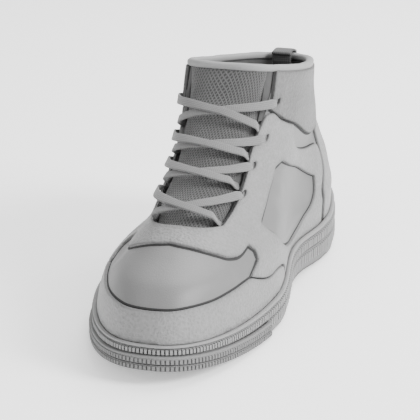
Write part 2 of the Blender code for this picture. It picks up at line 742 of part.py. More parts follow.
def sweep(path, sides, width, thickness, name, material, collection):
    """Flat bar along a path, with its width laid along the given directions."""
    path = np.asarray(path, float)
    sides = np.asarray(sides, float)
    vertices = []
    along = np.gradient(path, axis=0)
    for point, side, run in zip(path, sides, along):
        run = run / np.linalg.norm(run)
        side = side - run * np.dot(side, run)
        side = side / np.linalg.norm(side)
        up = np.cross(run, side)
        for a, b in ((-0.5, -0.5), (0.5, -0.5), (0.5, 0.5), (-0.5, 0.5)):
            vertices.append(point + side * a * width + up * b * thickness)
    faces = [(0, 1, 2, 3)]
    for i in range(len(path) - 1):
        for j in range(4):
            m = (j + 1) % 4
            faces.append((i * 4 + j, i * 4 + m, i * 4 + 4 + m, i * 4 + 4 + j))
    end = (len(path) - 1) * 4
    faces.append((end, end + 3, end + 2, end + 1))
    return add_object(name, vertices, faces, material, collection)


def build_bar(name, start, end, lift, material, collection):
    """Bar of the lace over the tongue, from the throat's edge on one side to an eyelet on the other."""
    path = []
    sides = []
    clear = 2 * FIT + CUFF_THICKNESS + LACE_THICKNESS / 2
    for i in range(LACE_STEPS + 1):
        w = i / LACE_STEPS
        turn = start[0] * (1 - w) + end[0] * w
        level = start[1] * (1 - w) + end[1] * w
        point, normal = place_on_upper(column_at(turn), level)
        normal = normal / np.linalg.norm(normal)
        path.append(point + normal * (clear + lift * np.sin(np.pi * w)))
        sides.append(normal)
    runs = np.gradient(np.array(path), axis=0)
    sides = [np.cross(side, run) for side, run in zip(sides, runs)]
    return sweep(path, sides, LACE_WIDTH, LACE_THICKNESS, name, material, collection)


def build_laces(material, collection, cutters):
    """Four crossings, each of two bars joined where the upper one crosses the lower one."""
    for index in range(len(EYELETS)):
        name = "lace_crossing_%d" % (index + 1)
        exit_turn, exit_level = LACE_EXITS[index]
        eyelet_turn, eyelet_level = EYELETS[index]
        under_start = (1 - exit_turn, exit_level)
        under_end = (eyelet_turn, eyelet_level)
        over_start = (1 - eyelet_turn, eyelet_level)
        over_end = (exit_turn, exit_level)
        under = build_bar(name, under_start, under_end, LACE_LIFT, material, collection)
        over_lift = LACE_LIFT + LACE_THICKNESS * CROSSING_RISE
        over = build_bar(name + "_upper_bar", over_start, over_end, over_lift, material, cutters)
        over.hide_render = True
        over.display_type = "WIRE"
        join = under.modifiers.new("join", "BOOLEAN")
        join.operation = "UNION"
        join.solver = "EXACT"
        join.object = over


def build_loop(material, collection):
    """Pull loop over the roll at the back of the collar."""
    middle = np.array([LOOP_PLACE, 0.0, 0.0])
    rim = POINTS[-1, 0] + middle
    outer = CUFF_THICKNESS + 2 * FIT + LOOP_THICKNESS / 2
    round_back = HOLLOW_SHARE * LOOP_WIDTH
    roll_inside = -(ROLL_WIDTH + FIT + LOOP_THICKNESS / 2) - round_back
    lining = -(WALL + FIT + LOOP_THICKNESS / 2) - round_back
    roll_top = FIT + ROLL_HEIGHT
    crown = roll_top + LOOP_HEIGHT
    steps = (
        (outer, 0.0),
        (outer, roll_top),
        (outer / 2, crown - LOOP_ROUNDING),
        ((outer + roll_inside) / 2, crown),
        (roll_inside - outer / 2, crown - LOOP_ROUNDING),
        (roll_inside, roll_top),
        (roll_inside, 0.0),
        (lining, -ROLL_HEIGHT),
        (lining, -LOOP_TAIL),
    )
    path = []
    for level in (LOOP_FOOT, (LOOP_FOOT + 1) / 2):
        point, normal = place_on_upper(0.0, level)
        path.append(point + middle + normal / np.linalg.norm(normal) * (outer + FIT))
    path += [rim + np.array([0.0, out, up]) for out, up in steps]
    sides = [np.array([1.0, 0.0, 0.0])] * len(path)
    return sweep(path, sides, LOOP_WIDTH, LOOP_THICKNESS, "pull_loop", material, collection)


def centre(things):
    """Move the pieces so that the middle of their bounds lies over the origin."""
    corners = np.array([v.co for thing in things if not thing.modifiers for v in thing.data.vertices])
    middle = (corners.min(axis=0) + corners.max(axis=0)) / 2
    shift = np.array([middle[0], middle[1], 0.0])
    for thing in things:
        for vertex in thing.data.vertices:
            vertex.co = np.array(vertex.co) - shift


def main():
    for thing in list(bpy.data.objects):
        bpy.data.objects.remove(thing, do_unlink=True)
    shoe = bpy.data.collections.new("basketball_shoe")
    cutters = bpy.data.collections.new("cutters")
    for group in (shoe, cutters):
        bpy.context.scene.collection.children.link(group)
    cutters.hide_render = True
    leather = make_material("leather", 0.46, 0.6)
    base = make_material("base_leather", 0.38, 0.55)
    knit = make_material("knit", 0.16, 0.9)
    sole = make_material("sole_rubber", 0.29, 0.7)
    tread = make_material("tread_rubber", 0.25, 0.75)
    lining = make_material("lining", 0.2, 0.9)
    cord = make_material("lace", 0.33, 0.85)
    dark = make_material("webbing", 0.06, 0.8)
    build_outsole(tread, shoe)
    build_toe_wrap(tread, shoe)
    build_midsole(sole, shoe)
    build_insole(lining, shoe)
    build_upper(base, shoe)
    build_tongue(knit, shoe)
    build_overlays(leather, shoe)
    build_roll(lining, shoe)
    build_loop(dark, shoe)
    build_laces(cord, shoe, cutters)
    centre(list(shoe.objects) + list(cutters.objects))


main()
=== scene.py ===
import math

import bpy
import numpy as np
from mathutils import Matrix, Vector
from mathutils.geometry import delaunay_2d_cdt
from mathutils.kdtree import KDTree


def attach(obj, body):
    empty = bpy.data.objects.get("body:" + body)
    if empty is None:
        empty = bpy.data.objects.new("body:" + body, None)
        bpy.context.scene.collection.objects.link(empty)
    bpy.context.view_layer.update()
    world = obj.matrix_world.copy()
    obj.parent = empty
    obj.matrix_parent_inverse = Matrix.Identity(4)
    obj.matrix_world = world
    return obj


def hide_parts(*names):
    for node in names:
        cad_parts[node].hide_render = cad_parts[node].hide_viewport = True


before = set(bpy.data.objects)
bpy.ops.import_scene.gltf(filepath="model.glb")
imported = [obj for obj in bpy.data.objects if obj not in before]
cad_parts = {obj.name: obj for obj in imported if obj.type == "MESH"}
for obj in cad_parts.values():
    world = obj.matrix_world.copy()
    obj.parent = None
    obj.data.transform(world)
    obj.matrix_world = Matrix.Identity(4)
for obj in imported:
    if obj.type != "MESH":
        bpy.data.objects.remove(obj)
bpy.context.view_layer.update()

# A place on the upper is a turn (0 at the heel, 0.25 medial, 0.5 toe) and a level (0.1 at the lip, 1 at the collar)
shoeShift = np.array([0.00363, -0.000381, 0.0])  # puts the middle of the shoe over the origin
sole = {
    "length": 0.300, "heelWidth": 0.0856, "waistWidth": 0.0744, "ballWidth": 0.1056,
    "heelStack": 0.029, "waistStack": 0.021, "toeStack": 0.0135,
    "heelFloor": 0.019, "waistFloor": 0.0135, "ballFloor": 0.0093,
    "toeSpring": 0.0078, "springStart": 0.68, "archRise": 0.002, "archMiddle": 0.42, "archReach": 0.14,
    "lugDepth": 0.0015, "outsole": 0.0045, "cupWall": 0.003, "fit": 0.0003,
    "wrapThickness": 0.0018, "wrapHeight": 0.0084, "wrapStart": 0.715, "blockHeight": 0.0006, "ribHeight": 0.0013,
    "tipShift": 0.058, "round": (2.5, 2.4), "toeIn": 0.98, "toeOut": 0.80,
}
soleFront = sole["length"] - sole["wrapThickness"] - sole["fit"] - sole["blockHeight"]
medialShare = (0.52, 0.487, 0.452)  # heel, waist, ball
collarHeights = (0.109, 0.115, 0.126)  # back, side, front

# rows of the last: level, rear, front, three heights, three medial widths, three lateral widths,
# rear and front roundness, medial and lateral narrowing to the toe, sideways shift
lastTable = np.array([
    (0.00, 0.005, 0.008, 0.00, 0.00, 0.00, 0.95, 0.96, 0.95, 0.95, 0.96, 0.95, 2.5, 2.4, 0.98, 0.80, 0.058),
    (0.10, 0.000, 0.000, 0.00, 0.00, 0.00, 1.00, 1.00, 1.00, 1.00, 1.00, 1.00, 2.5, 2.4, 0.98, 0.80, 0.058),
    (0.17, 0.000, 0.018, 0.14, 0.13, 0.16, 1.00, 1.02, 0.98, 1.00, 0.98, 0.92, 2.5, 2.5, 0.98, 0.85, 0.055),
    (0.24, 0.002, 0.042, 0.23, 0.20, 0.24, 0.95, 0.98, 0.95, 0.98, 0.95, 0.82, 2.5, 2.5, 0.99, 0.90, 0.047),
    (0.34, 0.009, 0.118, 0.36, 0.29, 0.32, 0.87, 0.93, 0.87, 0.94, 0.92, 0.66, 2.5, 2.4, 1.00, 1.00, 0.032),
    (0.44, 0.019, 0.200, 0.48, 0.39, 0.40, 0.77, 0.88, 0.78, 0.90, 0.90, 0.56, 2.4, 2.3, 1.00, 1.00, 0.008),
    (0.55, 0.031, 0.280, 0.60, 0.50, 0.50, 0.67, 0.84, 0.70, 0.86, 0.88, 0.55, 2.4, 2.3, 1.00, 1.00, -0.012),
    (0.66, 0.040, 0.358, 0.70, 0.62, 0.61, 0.62, 0.81, 0.64, 0.82, 0.87, 0.56, 2.4, 2.3, 1.00, 1.00, -0.020),
    (0.77, 0.047, 0.432, 0.81, 0.75, 0.74, 0.59, 0.78, 0.61, 0.80, 0.89, 0.59, 2.4, 2.5, 1.00, 1.00, -0.028),
    (0.88, 0.050, 0.495, 0.91, 0.88, 0.88, 0.57, 0.77, 0.61, 0.79, 0.92, 0.65, 2.3, 2.8, 1.00, 1.00, -0.028),
    (1.00, 0.052, 0.535, 1.00, 1.00, 1.00, 0.57, 0.77, 0.61, 0.80, 0.94, 0.67, 2.2, 3.0, 1.00, 1.00, -0.028),
])
widthPlaces = (0.0, 0.19, 0.42, 0.68, 1.0)
heightPlaces = (0.0, 0.42, 1.0)


def hermite(w, first, last, leaving, arriving):
    return ((2 * w**3 - 3 * w**2 + 1) * first + (w**3 - 2 * w**2 + w) * leaving
            + (3 * w**2 - 2 * w**3) * last + (w**3 - w**2) * arriving)


def smooth(places, values, at):  # curve through the values that never overshoots them
    x, y = np.asarray(places, float), np.asarray(values, float)
    step = np.diff(x)
    slope = np.diff(y) / step
    tangent = np.zeros_like(y)
    for i in range(1, len(x) - 1):
        if slope[i - 1] * slope[i] > 0:
            before, after = 2 * step[i] + step[i - 1], step[i] + 2 * step[i - 1]
            tangent[i] = (before + after) / (before / slope[i - 1] + after / slope[i])
    tangent[0], tangent[-1] = slope[0], slope[-1]
    at = np.clip(np.asarray(at, float), x[0], x[-1])
    i = np.clip(np.searchsorted(x, at, side="right") - 1, 0, len(x) - 2)
    return hermite((at - x[i]) / step[i], y[i], y[i + 1], step[i] * tangent[i], step[i] * tangent[i + 1])


def ease(low, high, at):
    w = np.clip((np.asarray(at, float) - low) / (high - low), 0, 1)
    return w * w * (3 - 2 * w)


def rise(s):  # the tread's height over the floor
    share = np.asarray(s, float) / sole["length"]
    start = sole["springStart"]
    toe = sole["toeSpring"] * np.clip((share - start) / (1 - start), 0, 1) ** 2
    bend = np.clip(1 - ((share - sole["archMiddle"]) / sole["archReach"]) ** 2, 0, 1)
    return toe + sole["archRise"] * bend ** 2


def lip(s):
    stacks = (sole["heelStack"], sole["waistStack"], sole["toeStack"])
    return smooth((0.0, 0.40, 1.0), stacks, np.asarray(s) / sole["length"]) + rise(s)


def footFloor(s):
    heel, waist, ball = sole["heelFloor"], sole["waistFloor"], sole["ballFloor"]
    places = (0.0, 0.16, 0.42, 0.70, 1.0)
    return smooth(places, (heel, heel, waist, ball, ball), np.asarray(s) / sole["length"]) + rise(s)


def halfWidths(inset):
    full = (sole["heelWidth"], sole["waistWidth"], sole["ballWidth"])
    medial = [w * share - inset for w, share in zip(full, medialShare)]
    lateral = [w * (1 - share) - inset for w, share in zip(full, medialShare)]
    return medial, lateral


def ringPlan(turn, rear, front, medial, lateral, powers, narrowing, shift):
    turn = np.asarray(turn, float) % 1.0
    along = (1 - np.cos(2 * np.pi * turn)) / 2
    sides = [smooth(widthPlaces, (heel, heel, waist, ball, ball * narrow), along)
             for (heel, waist, ball), narrow in zip((medial, lateral), narrowing)]
    isMedial = turn <= 0.5
    power = np.where(along < 0.5, powers[0], powers[1])
    bulge = np.maximum(1 - np.abs(2 * along - 1) ** power, 0) ** (1 / power)
    sideways = np.where(isMedial, sides[0], -sides[1]) * bulge
    sideways = sideways + shift * np.clip((along - 0.45) / 0.55, 0, 1) ** 2
    return sideways, rear + (front - rear) * along


def planNormals(x, s):
    dx, ds = np.roll(x, -1) - np.roll(x, 1), np.roll(s, -1) - np.roll(s, 1)
    size = np.maximum(np.hypot(dx, ds), 1e-12)
    return ds / size, -dx / size


def solePlan(turn):
    medial, lateral = halfWidths(0.0)
    return ringPlan(turn, 0.0, soleFront, medial, lateral, sole["round"],
                    (sole["toeIn"], sole["toeOut"]), sole["tipShift"] * sole["ballWidth"])


def lastRing(turn, level):
    row = [float(smooth(lastTable[:, 0], lastTable[:, k], level)) for k in range(17)]
    inset = sole["cupWall"] + sole["fit"]
    medial, lateral = halfWidths(inset)
    medial = [w * share for w, share in zip(medial, row[6:9])]
    lateral = [w * share for w, share in zip(lateral, row[9:12])]
    cupFront = soleFront - inset
    rear, front = inset + row[1] * sole["length"], cupFront - row[2] * sole["length"]
    x, s = ringPlan(turn, rear, front, medial, lateral, row[12:14], row[14:16], row[16] * sole["ballWidth"])
    along = (1 - np.cos(2 * np.pi * (np.asarray(turn) % 1.0))) / 2
    seat = lip(inset + (cupFront - inset) * along)
    if level < 0.1:
        low = footFloor(s) + sole["fit"]
        z = low + (seat - low) * level / 0.1
    else:
        z = seat + smooth(heightPlaces, row[3:6], along) * (smooth(heightPlaces, collarHeights, along) - seat)
    return np.stack([x, sole["length"] / 2 - s, z], axis=-1) + shoeShift


# Fine lattice of the last, its soft creases and its normals
latticeSize = {"columns": 1200, "rows": 241}
outlineTurns = np.linspace(0, 1, 5761)
outlineX, outlineS = solePlan(outlineTurns)
outlineRun = np.concatenate([[0], np.cumsum(np.hypot(np.diff(outlineX), np.diff(outlineS)))])
perimeter = float(outlineRun[-1])


def turnAt(run):  # turn at a distance round the sole
    return np.interp(run, outlineRun, outlineTurns)


def runAt(turn):  # distance round the sole, below 0 for the lateral side of the heel
    turn = np.asarray(turn, float)
    return np.interp(turn - np.floor(turn), outlineTurns, outlineRun) + np.floor(turn) * perimeter


def evenTurns(count):
    return turnAt(np.linspace(0, perimeter, count, endpoint=False))


latticeTurns = turnAt(np.linspace(0, perimeter, latticeSize["columns"] + 1)[:-1])
lastPoints = np.array([lastRing(latticeTurns, level) for level in np.linspace(0, 1, latticeSize["rows"])])


def normalsOf(points):
    across = np.roll(points, -1, axis=1) - np.roll(points, 1, axis=1)
    normals = np.cross(across, np.gradient(points, axis=0))
    return normals / np.maximum(np.linalg.norm(normals, axis=2, keepdims=True), 1e-12)


lastNormals = normalsOf(lastPoints)
middleRow = lastPoints[latticeSize["rows"] // 2]
if ((middleRow - middleRow.mean(axis=0)) * lastNormals[latticeSize["rows"] // 2]).sum() < 0:
    lastNormals = -lastNormals
outwardSign = 1.0 if np.allclose(normalsOf(lastPoints), lastNormals) else -1.0


def lookUp(lattice, turn, level):
    column = runAt(turn) / perimeter * latticeSize["columns"]
    row = np.clip(np.asarray(level, float), 0, 1) * (latticeSize["rows"] - 1)
    c, r = np.floor(column).astype(int), np.minimum(np.floor(row).astype(int), latticeSize["rows"] - 2)
    a, b = (column - c)[..., None], (row - r)[..., None]
    c0, c1 = c % latticeSize["columns"], (c + 1) % latticeSize["columns"]
    low = lattice[r, c0] * (1 - a) + lattice[r, c1] * a
    high = lattice[r + 1, c0] * (1 - a) + lattice[r + 1, c1] * a
    return low * (1 - b) + high * b


# from turn, level to turn, level, half width and depth in metres (a ridge is below 0)
creases = [
    (0.352, 0.36, 0.372, 0.25, 0.0050, 0.00040), (0.640, 0.37, 0.622, 0.26, 0.0050, 0.00035),
    (0.405, 0.395, 0.470, 0.415, 0.0045, 0.00035), (0.300, 0.50, 0.345, 0.60, 0.0060, -0.00040),
]
pairedCreases = (  # on both sides of the shoe
    (0.180, 0.52, 0.250, 0.63, 0.0060, 0.00045), (0.120, 0.68, 0.290, 0.80, 0.0070, -0.00045),
    (0.200, 0.86, 0.330, 0.90, 0.0060, 0.00045), (0.210, 0.24, 0.290, 0.42, 0.0070, 0.00040),
)
for turn0, level0, turn1, *rest in pairedCreases:
    creases += [(turn0, level0, turn1, *rest), (1 - turn0, level0, 1 - turn1, *rest)]
field = np.zeros(lastPoints.shape[:2])
for turn0, level0, turn1, level1, width, depth in creases:
    w = np.linspace(0, 1, 18)
    spine = lookUp(lastPoints, turn0 + (turn1 - turn0) * w, level0 + (level1 - level0) * w + 0.012 * np.sin(np.pi * w))
    nearest = np.full(field.shape, 1.0)
    for point in spine:
        nearest = np.minimum(nearest, ((lastPoints - point) ** 2).sum(axis=2))
    away = np.sqrt(nearest) / width
    field += depth * (0.45 * np.exp(-((away - 1.7) ** 2)) - np.exp(-away ** 2))
lastPoints = lastPoints + lastNormals * field[..., None]
lastNormals = normalsOf(lastPoints) * outwardSign


def onLast(turn, level, offset=0.0):  # points and normals on the upper's outer face
    point, normal = lookUp(lastPoints, turn, level), lookUp(lastNormals, turn, level)
    normal = normal / np.linalg.norm(normal, axis=-1, keepdims=True)
    return point + normal * np.asarray(offset)[..., None], normal


print("last ready")


# Materials: greys are linear, lengths in metres
finishes = {  # edge is how much darker a panel's rim or a groove is, as painted shade
    "leather": {"grey": 0.19, "rough": 0.50, "grain": 560, "depth": 0.00055, "speckle": 0.34, "edge": 0.25,
                "slot": "leather"},
    "cuffLeather": {"grey": 0.115, "rough": 0.52, "grain": 500, "depth": 0.00065, "speckle": 0.36, "edge": 0.25,
                    "slot": "leather"},
    "smoothLeather": {"grey": 0.138, "rough": 0.46, "grain": 1500, "depth": 0.00010, "speckle": 0.10, "edge": 0.0,
                      "slot": "base_leather"},
    "soleRubber": {"grey": 0.20, "rough": 0.60, "grain": 2000, "depth": 0.00010, "speckle": 0.16, "edge": 0.80,
                   "slot": "sole_rubber"},
    "treadRubber": {"grey": 0.155, "rough": 0.66, "grain": 1800, "depth": 0.00010, "speckle": 0.18, "edge": 0.80,
                    "slot": "tread_rubber"},
    "liningCloth": {"grey": 0.060, "rough": 0.9, "grain": 1700, "depth": 0.00012, "speckle": 0.16, "edge": 0.0,
                    "slot": "lining"},
    "rollCloth": {"grey": 0.24, "rough": 0.8, "grain": 1500, "depth": 0.00010, "speckle": 0.14, "edge": 0.0,
                  "slot": "lining"},
    # painted shadow: near-black for the dark lines at the panels' edges
    "paintedShadow": {"grey": 0.015, "rough": 0.8, "grain": 1500, "depth": 0.00005, "speckle": 0.2, "edge": 0.0,
                 "slot": "base_leather"},
}


def nodeOf(tree, kind, **values):
    node = tree.nodes.new(kind)
    for key, value in values.items():
        node.inputs[key].default_value = value
    return node


def newMaterial(name, rough):
    material = bpy.data.materials.new(name)
    material.use_nodes = True
    shader = material.node_tree.nodes["Principled BSDF"]
    shader.inputs["Roughness"].default_value = rough
    return material, material.node_tree, shader


def mathNode(tree, operation, first, second=0.0, third=None):
    node = tree.nodes.new("ShaderNodeMath")
    node.operation = operation
    for socket, value in zip(node.inputs, (first, second, third)):
        if value is None:
            continue
        if isinstance(value, (int, float)):
            socket.default_value = value
        else:
            tree.links.new(value, socket)
    return node.outputs[0]


def greyMix(tree, low, high, factor):  # from one grey, or a node's colour, to another
    mix = tree.nodes.new("ShaderNodeMix")
    mix.data_type = "RGBA"
    for key, value in (("A", low), ("B", high)):
        if isinstance(value, float):
            mix.inputs[key].default_value = (value, value, value, 1)
        else:
            tree.links.new(value, mix.inputs[key])
    tree.links.new(factor, mix.inputs["Factor"])
    return mix.outputs["Result"]


def dress(tree, shader, colour, height, strength, depth):
    tree.links.new(colour, shader.inputs["Base Color"])
    bump = nodeOf(tree, "ShaderNodeBump", Strength=strength, Distance=depth)
    tree.links.new(height, bump.inputs["Height"])
    tree.links.new(bump.outputs["Normal"], shader.inputs["Normal"])


def grainMaterial(name):
    values = finishes[name]
    material, tree, shader = newMaterial(name, values["rough"])
    place = tree.nodes.new("ShaderNodeTexCoord").outputs["Object"]
    cells = nodeOf(tree, "ShaderNodeTexVoronoi", Scale=values["grain"], Randomness=1.0)
    fine = nodeOf(tree, "ShaderNodeTexNoise", Scale=values["grain"] * 2.3, Detail=3.0)
    wide = nodeOf(tree, "ShaderNodeTexNoise", Scale=28.0, Detail=3.0)
    for node in (cells, fine, wide):
        tree.links.new(place, node.inputs["Vector"])
    height = mathNode(tree, "ADD", cells.outputs["Distance"], fine.outputs["Fac"])
    speck = mathNode(tree, "MULTIPLY", height, 0.55)
    shade = mathNode(tree, "ADD", mathNode(tree, "MULTIPLY", speck, 0.75),
                     mathNode(tree, "MULTIPLY", wide.outputs["Fac"], 0.25))
    # painted shade: the edge attribute darkens rims and grooves towards grey * (1 - edge)
    edge = tree.nodes.new("ShaderNodeAttribute")
    edge.attribute_name = "edge"
    grey, spread = values["grey"], values["speckle"]
    colour = greyMix(tree, grey * (1 - spread), grey * (1 + spread), shade)
    colour = greyMix(tree, colour, grey * (1 - values["edge"]), edge.outputs["Fac"])
    dress(tree, shader, colour, height, 0.7, values["depth"])
    return material


def clothMaterial(name, values):  # threads laid in the piece's own UV map, in millimetres
    material, tree, shader = newMaterial(name, values["rough"])
    shader.inputs["Sheen Weight"].default_value = values["sheen"]
    split = tree.nodes.new("ShaderNodeSeparateXYZ")
    tree.links.new(tree.nodes.new("ShaderNodeUVMap").outputs["UV"], split.inputs["Vector"])
    across, up = split.outputs["X"], split.outputs["Y"]
    if values["pattern"] == "diamond":
        lean = mathNode(tree, "MULTIPLY", up, values["lean"])
        first, second = mathNode(tree, "ADD", across, lean), mathNode(tree, "SUBTRACT", across, lean)
    else:
        first, second = across, up
    waves = []
    for line, pitch in ((first, values["pitch"][0]), (second, values["pitch"][1])):
        turns = mathNode(tree, "MULTIPLY", line, 2 * math.pi / pitch)
        waves.append(mathNode(tree, "MULTIPLY_ADD", mathNode(tree, "COSINE", turns), 0.5, 0.5))
    meet = "MAXIMUM" if values["pattern"] == "diamond" else "MULTIPLY"
    thread = mathNode(tree, "POWER", mathNode(tree, meet, *waves), values["sharp"])
    place = tree.nodes.new("ShaderNodeTexCoord").outputs["Object"]
    fuzz = nodeOf(tree, "ShaderNodeTexNoise", Scale=2600.0, Detail=2.0)
    tree.links.new(place, fuzz.inputs["Vector"])
    height = mathNode(tree, "ADD", thread, mathNode(tree, "MULTIPLY", fuzz.outputs["Fac"], 0.25))
    shade = mathNode(tree, "ADD", mathNode(tree, "MULTIPLY", thread, 0.85),
                     mathNode(tree, "MULTIPLY", fuzz.outputs["Fac"], 0.2))
    dress(tree, shader, greyMix(tree, values["dark"], values["light"], shade), height, 0.8, values["depth"])
    return material


cloths = {
    "knitMesh": {"pattern": "diamond", "pitch": (1.6, 2.0), "lean": 0.50, "sharp": 2.0, "dark": 0.012, "light": 0.090,
                 "rough": 0.85, "sheen": 0.2, "depth": 0.0004, "slot": "knit"},
    "laceWeave": {"pattern": "plain", "pitch": (1.1, 1.0), "sharp": 0.6, "dark": 0.10, "light": 0.165,
                  "rough": 0.8, "sheen": 0.2, "depth": 0.00015, "slot": "lace"},
    "webbingWeave": {"pattern": "plain", "pitch": (1.2, 1.2), "sharp": 0.6, "dark": 0.02, "light": 0.055,
                     "rough": 0.75, "sheen": 0.2, "depth": 0.0002, "slot": "webbing"},
}
materials = {name: grainMaterial(name) for name in finishes}
materials.update({name: clothMaterial(name, cloths[name]) for name in cloths})
print("materials ready")


# Modelling helpers
def only(piece):
    for thing in bpy.context.selected_objects:
        thing.select_set(False)
    if piece:
        piece.select_set(True)
        bpy.context.view_layer.objects.active = piece


def editAll(piece, operator, **values):  # run an edit-mode operator on all of a piece
    only(piece)
    bpy.ops.object.mode_set(mode="EDIT")
    bpy.ops.mesh.select_all(action="SELECT")
    operator(**values)
    bpy.ops.object.mode_set(mode="OBJECT")


def closeHoles(piece):
    editAll(piece, bpy.ops.mesh.fill_holes, sides=0)


def mergeClose(piece, distance):
    editAll(piece, bpy.ops.mesh.remove_doubles, threshold=distance)


def applyModifier(piece, kind, **values):
    only(piece)
    modifier = piece.modifiers.new(kind.lower(), kind)
    for key, value in values.items():
        setattr(modifier, key, value)
    bpy.ops.object.modifier_apply(modifier=modifier.name)


def wrapped(values, closed):  # with the first column or row again at the end
    if closed[0]:
        values = np.concatenate([values, values[:, :1]], axis=1)
    return np.concatenate([values, values[:1]]) if closed[1] else values


def setPaintedShade(mesh, shade):  # how dark the painted shade makes each point of a rim or groove
    edge = mesh.attributes.new("edge", "FLOAT", "POINT")
    edge.data.foreach_set("value", shade.astype(np.float32))


def gridPiece(name, points, closed=(False, False), drop=None, shade=None):
    # points[row, column] over a primitive grid; closed joins the last column or row to the first
    points = wrapped(points, closed)
    rows, columns = points.shape[:2]
    only(None)
    bpy.ops.mesh.primitive_grid_add(x_subdivisions=columns - 1, y_subdivisions=rows - 1, size=1.0, location=(0, 0, 0))
    piece = bpy.context.active_object
    mesh = piece.data
    piece.name = mesh.name = name
    flat = np.empty(len(mesh.vertices) * 3)
    mesh.vertices.foreach_get("co", flat)
    flat = flat.reshape(-1, 3)
    column = np.rint((flat[:, 0] + 0.5) * (columns - 1)).astype(int)
    row = np.rint((flat[:, 1] + 0.5) * (rows - 1)).astype(int)
    mesh.vertices.foreach_set("co", points[row, column].ravel())
    # the UV map in millimetres, by the mean length of the rows and columns
    u, v = [np.concatenate([[0], np.cumsum(np.linalg.norm(np.diff(points, axis=k), axis=2).mean(axis=1 - k))]) * 1000
            for k in (1, 0)]
    corner = np.empty(len(mesh.loops), int)
    mesh.loops.foreach_get("vertex_index", corner)
    mesh.uv_layers.active.data.foreach_set("uv", np.stack([u[column[corner]], v[row[corner]]], axis=1).ravel())
    # painted shade for rims and grooves, read by the grain materials
    if shade is not None:
        setPaintedShade(mesh, wrapped(shade, closed)[row, column])
    mesh.update()
    if drop is not None:
        only(piece)
        bpy.ops.object.mode_set(mode="EDIT")
        bpy.ops.mesh.select_mode(type="FACE")
        bpy.ops.mesh.select_all(action="DESELECT")
        bpy.ops.object.mode_set(mode="OBJECT")
        for face in mesh.polygons:
            i = list(face.vertices)
            face.select = bool(drop(row[i].mean() / (rows - 1), column[i].mean() / (columns - 1)))
        bpy.ops.object.mode_set(mode="EDIT")
        bpy.ops.mesh.delete(type="FACE")
        bpy.ops.object.mode_set(mode="OBJECT")
    if closed[0] or closed[1]:
        mergeClose(piece, 0.000002)
    return piece


def finishPiece(piece, materialName, nodes, angle=50, recalc=False):
    if recalc:
        editAll(piece, bpy.ops.mesh.normals_make_consistent, inside=False)
    if not piece.data.materials:
        piece.data.materials.append(materials[materialName])
    only(piece)
    bpy.ops.object.shade_smooth_by_angle(angle=math.radians(angle))
    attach(piece, "root")
    if nodes:
        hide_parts(*nodes)
    return piece


def capped(rings, middle):  # both ends drawn in to a point
    middle = np.broadcast_to(middle, rings.shape)
    return np.concatenate([middle[:, :1], rings, middle[:, -1:]], axis=1)


def band(name, path, sides, widths, thicknesses, around, square):
    # closed flat band along a path, with its width laid along the sides
    run = np.gradient(path, axis=0)
    run /= np.linalg.norm(run, axis=1, keepdims=True)
    sides = sides - run * (sides * run).sum(axis=1, keepdims=True)
    sides /= np.linalg.norm(sides, axis=1, keepdims=True)
    up = np.cross(run, sides)
    angle = np.linspace(0, 2 * np.pi, around, endpoint=False)
    a, b = [np.sign(wave) * np.abs(wave) ** (2 / square) / 2 for wave in (np.cos(angle), np.sin(angle))]
    rings = (path[None] + sides[None] * (a[:, None] * widths[None])[..., None]
             + up[None] * (b[:, None] * thicknesses[None])[..., None])
    return gridPiece(name, capped(rings, path), closed=(False, True))


# Outlines on the medial side, as turn and level
outlines = {
    "toeBox": ((0.50, 0.383), (0.456, 0.367), (0.419, 0.341), (0.392, 0.317), (0.374, 0.317), (0.362, 0.342),
               (0.346, 0.300), (0.340, 0.262), (0.352, 0.210)),
    "guardSeam": ((0.352, 0.210), (0.320, 0.166), (0.298, 0.166), (0.277, 0.137), (0.266, 0.085)),
    "guardTop": ((0.352, 0.210), (0.379, 0.194), (0.406, 0.181), (0.438, 0.174), (0.467, 0.168), (0.50, 0.166)),
    "quarterRear": ((0.172, 0.085), (0.170, 0.225), (0.158, 0.325), (0.152, 0.435), (0.158, 0.490), (0.272, 0.695),
                    (0.281, 0.746)),
    "quarterTop": ((0.281, 0.746), (0.335, 0.789), (0.372, 0.818), (0.384, 0.812), (0.390, 0.713)),
    "throat": ((0.390, 0.713), (0.390, 0.550), (0.400, 0.485), (0.414, 0.434), (0.45, 0.436), (0.50, 0.440)),
    "window": ((0.301, 0.613), (0.231, 0.490), (0.181, 0.352), (0.185, 0.240), (0.202, 0.175), (0.236, 0.138),
               (0.256, 0.160), (0.310, 0.322), (0.341, 0.400), (0.330, 0.490), (0.320, 0.600), (0.301, 0.613)),
    "counter": ((0.166, 0.085), (0.164, 0.225), (0.152, 0.325), (0.146, 0.435), (0.142, 0.555), (0.0, 0.590)),
    "cuffLow": ((0.0, 0.600), (0.146, 0.570), (0.281, 0.754), (0.335, 0.797), (0.378, 0.832)),
    "cuffFront": ((0.378, 0.832), (0.392, 0.999)),
}
eyelets = ((0.384, 0.538), (0.375, 0.638), (0.361, 0.730), (0.362, 0.858))
laceExits = ((0.419, 0.450), (0.401, 0.578), (0.388, 0.676), (0.383, 0.768))
flatScale = np.array([0.55, 0.15])  # metres for a whole turn and level, near enough for drawing


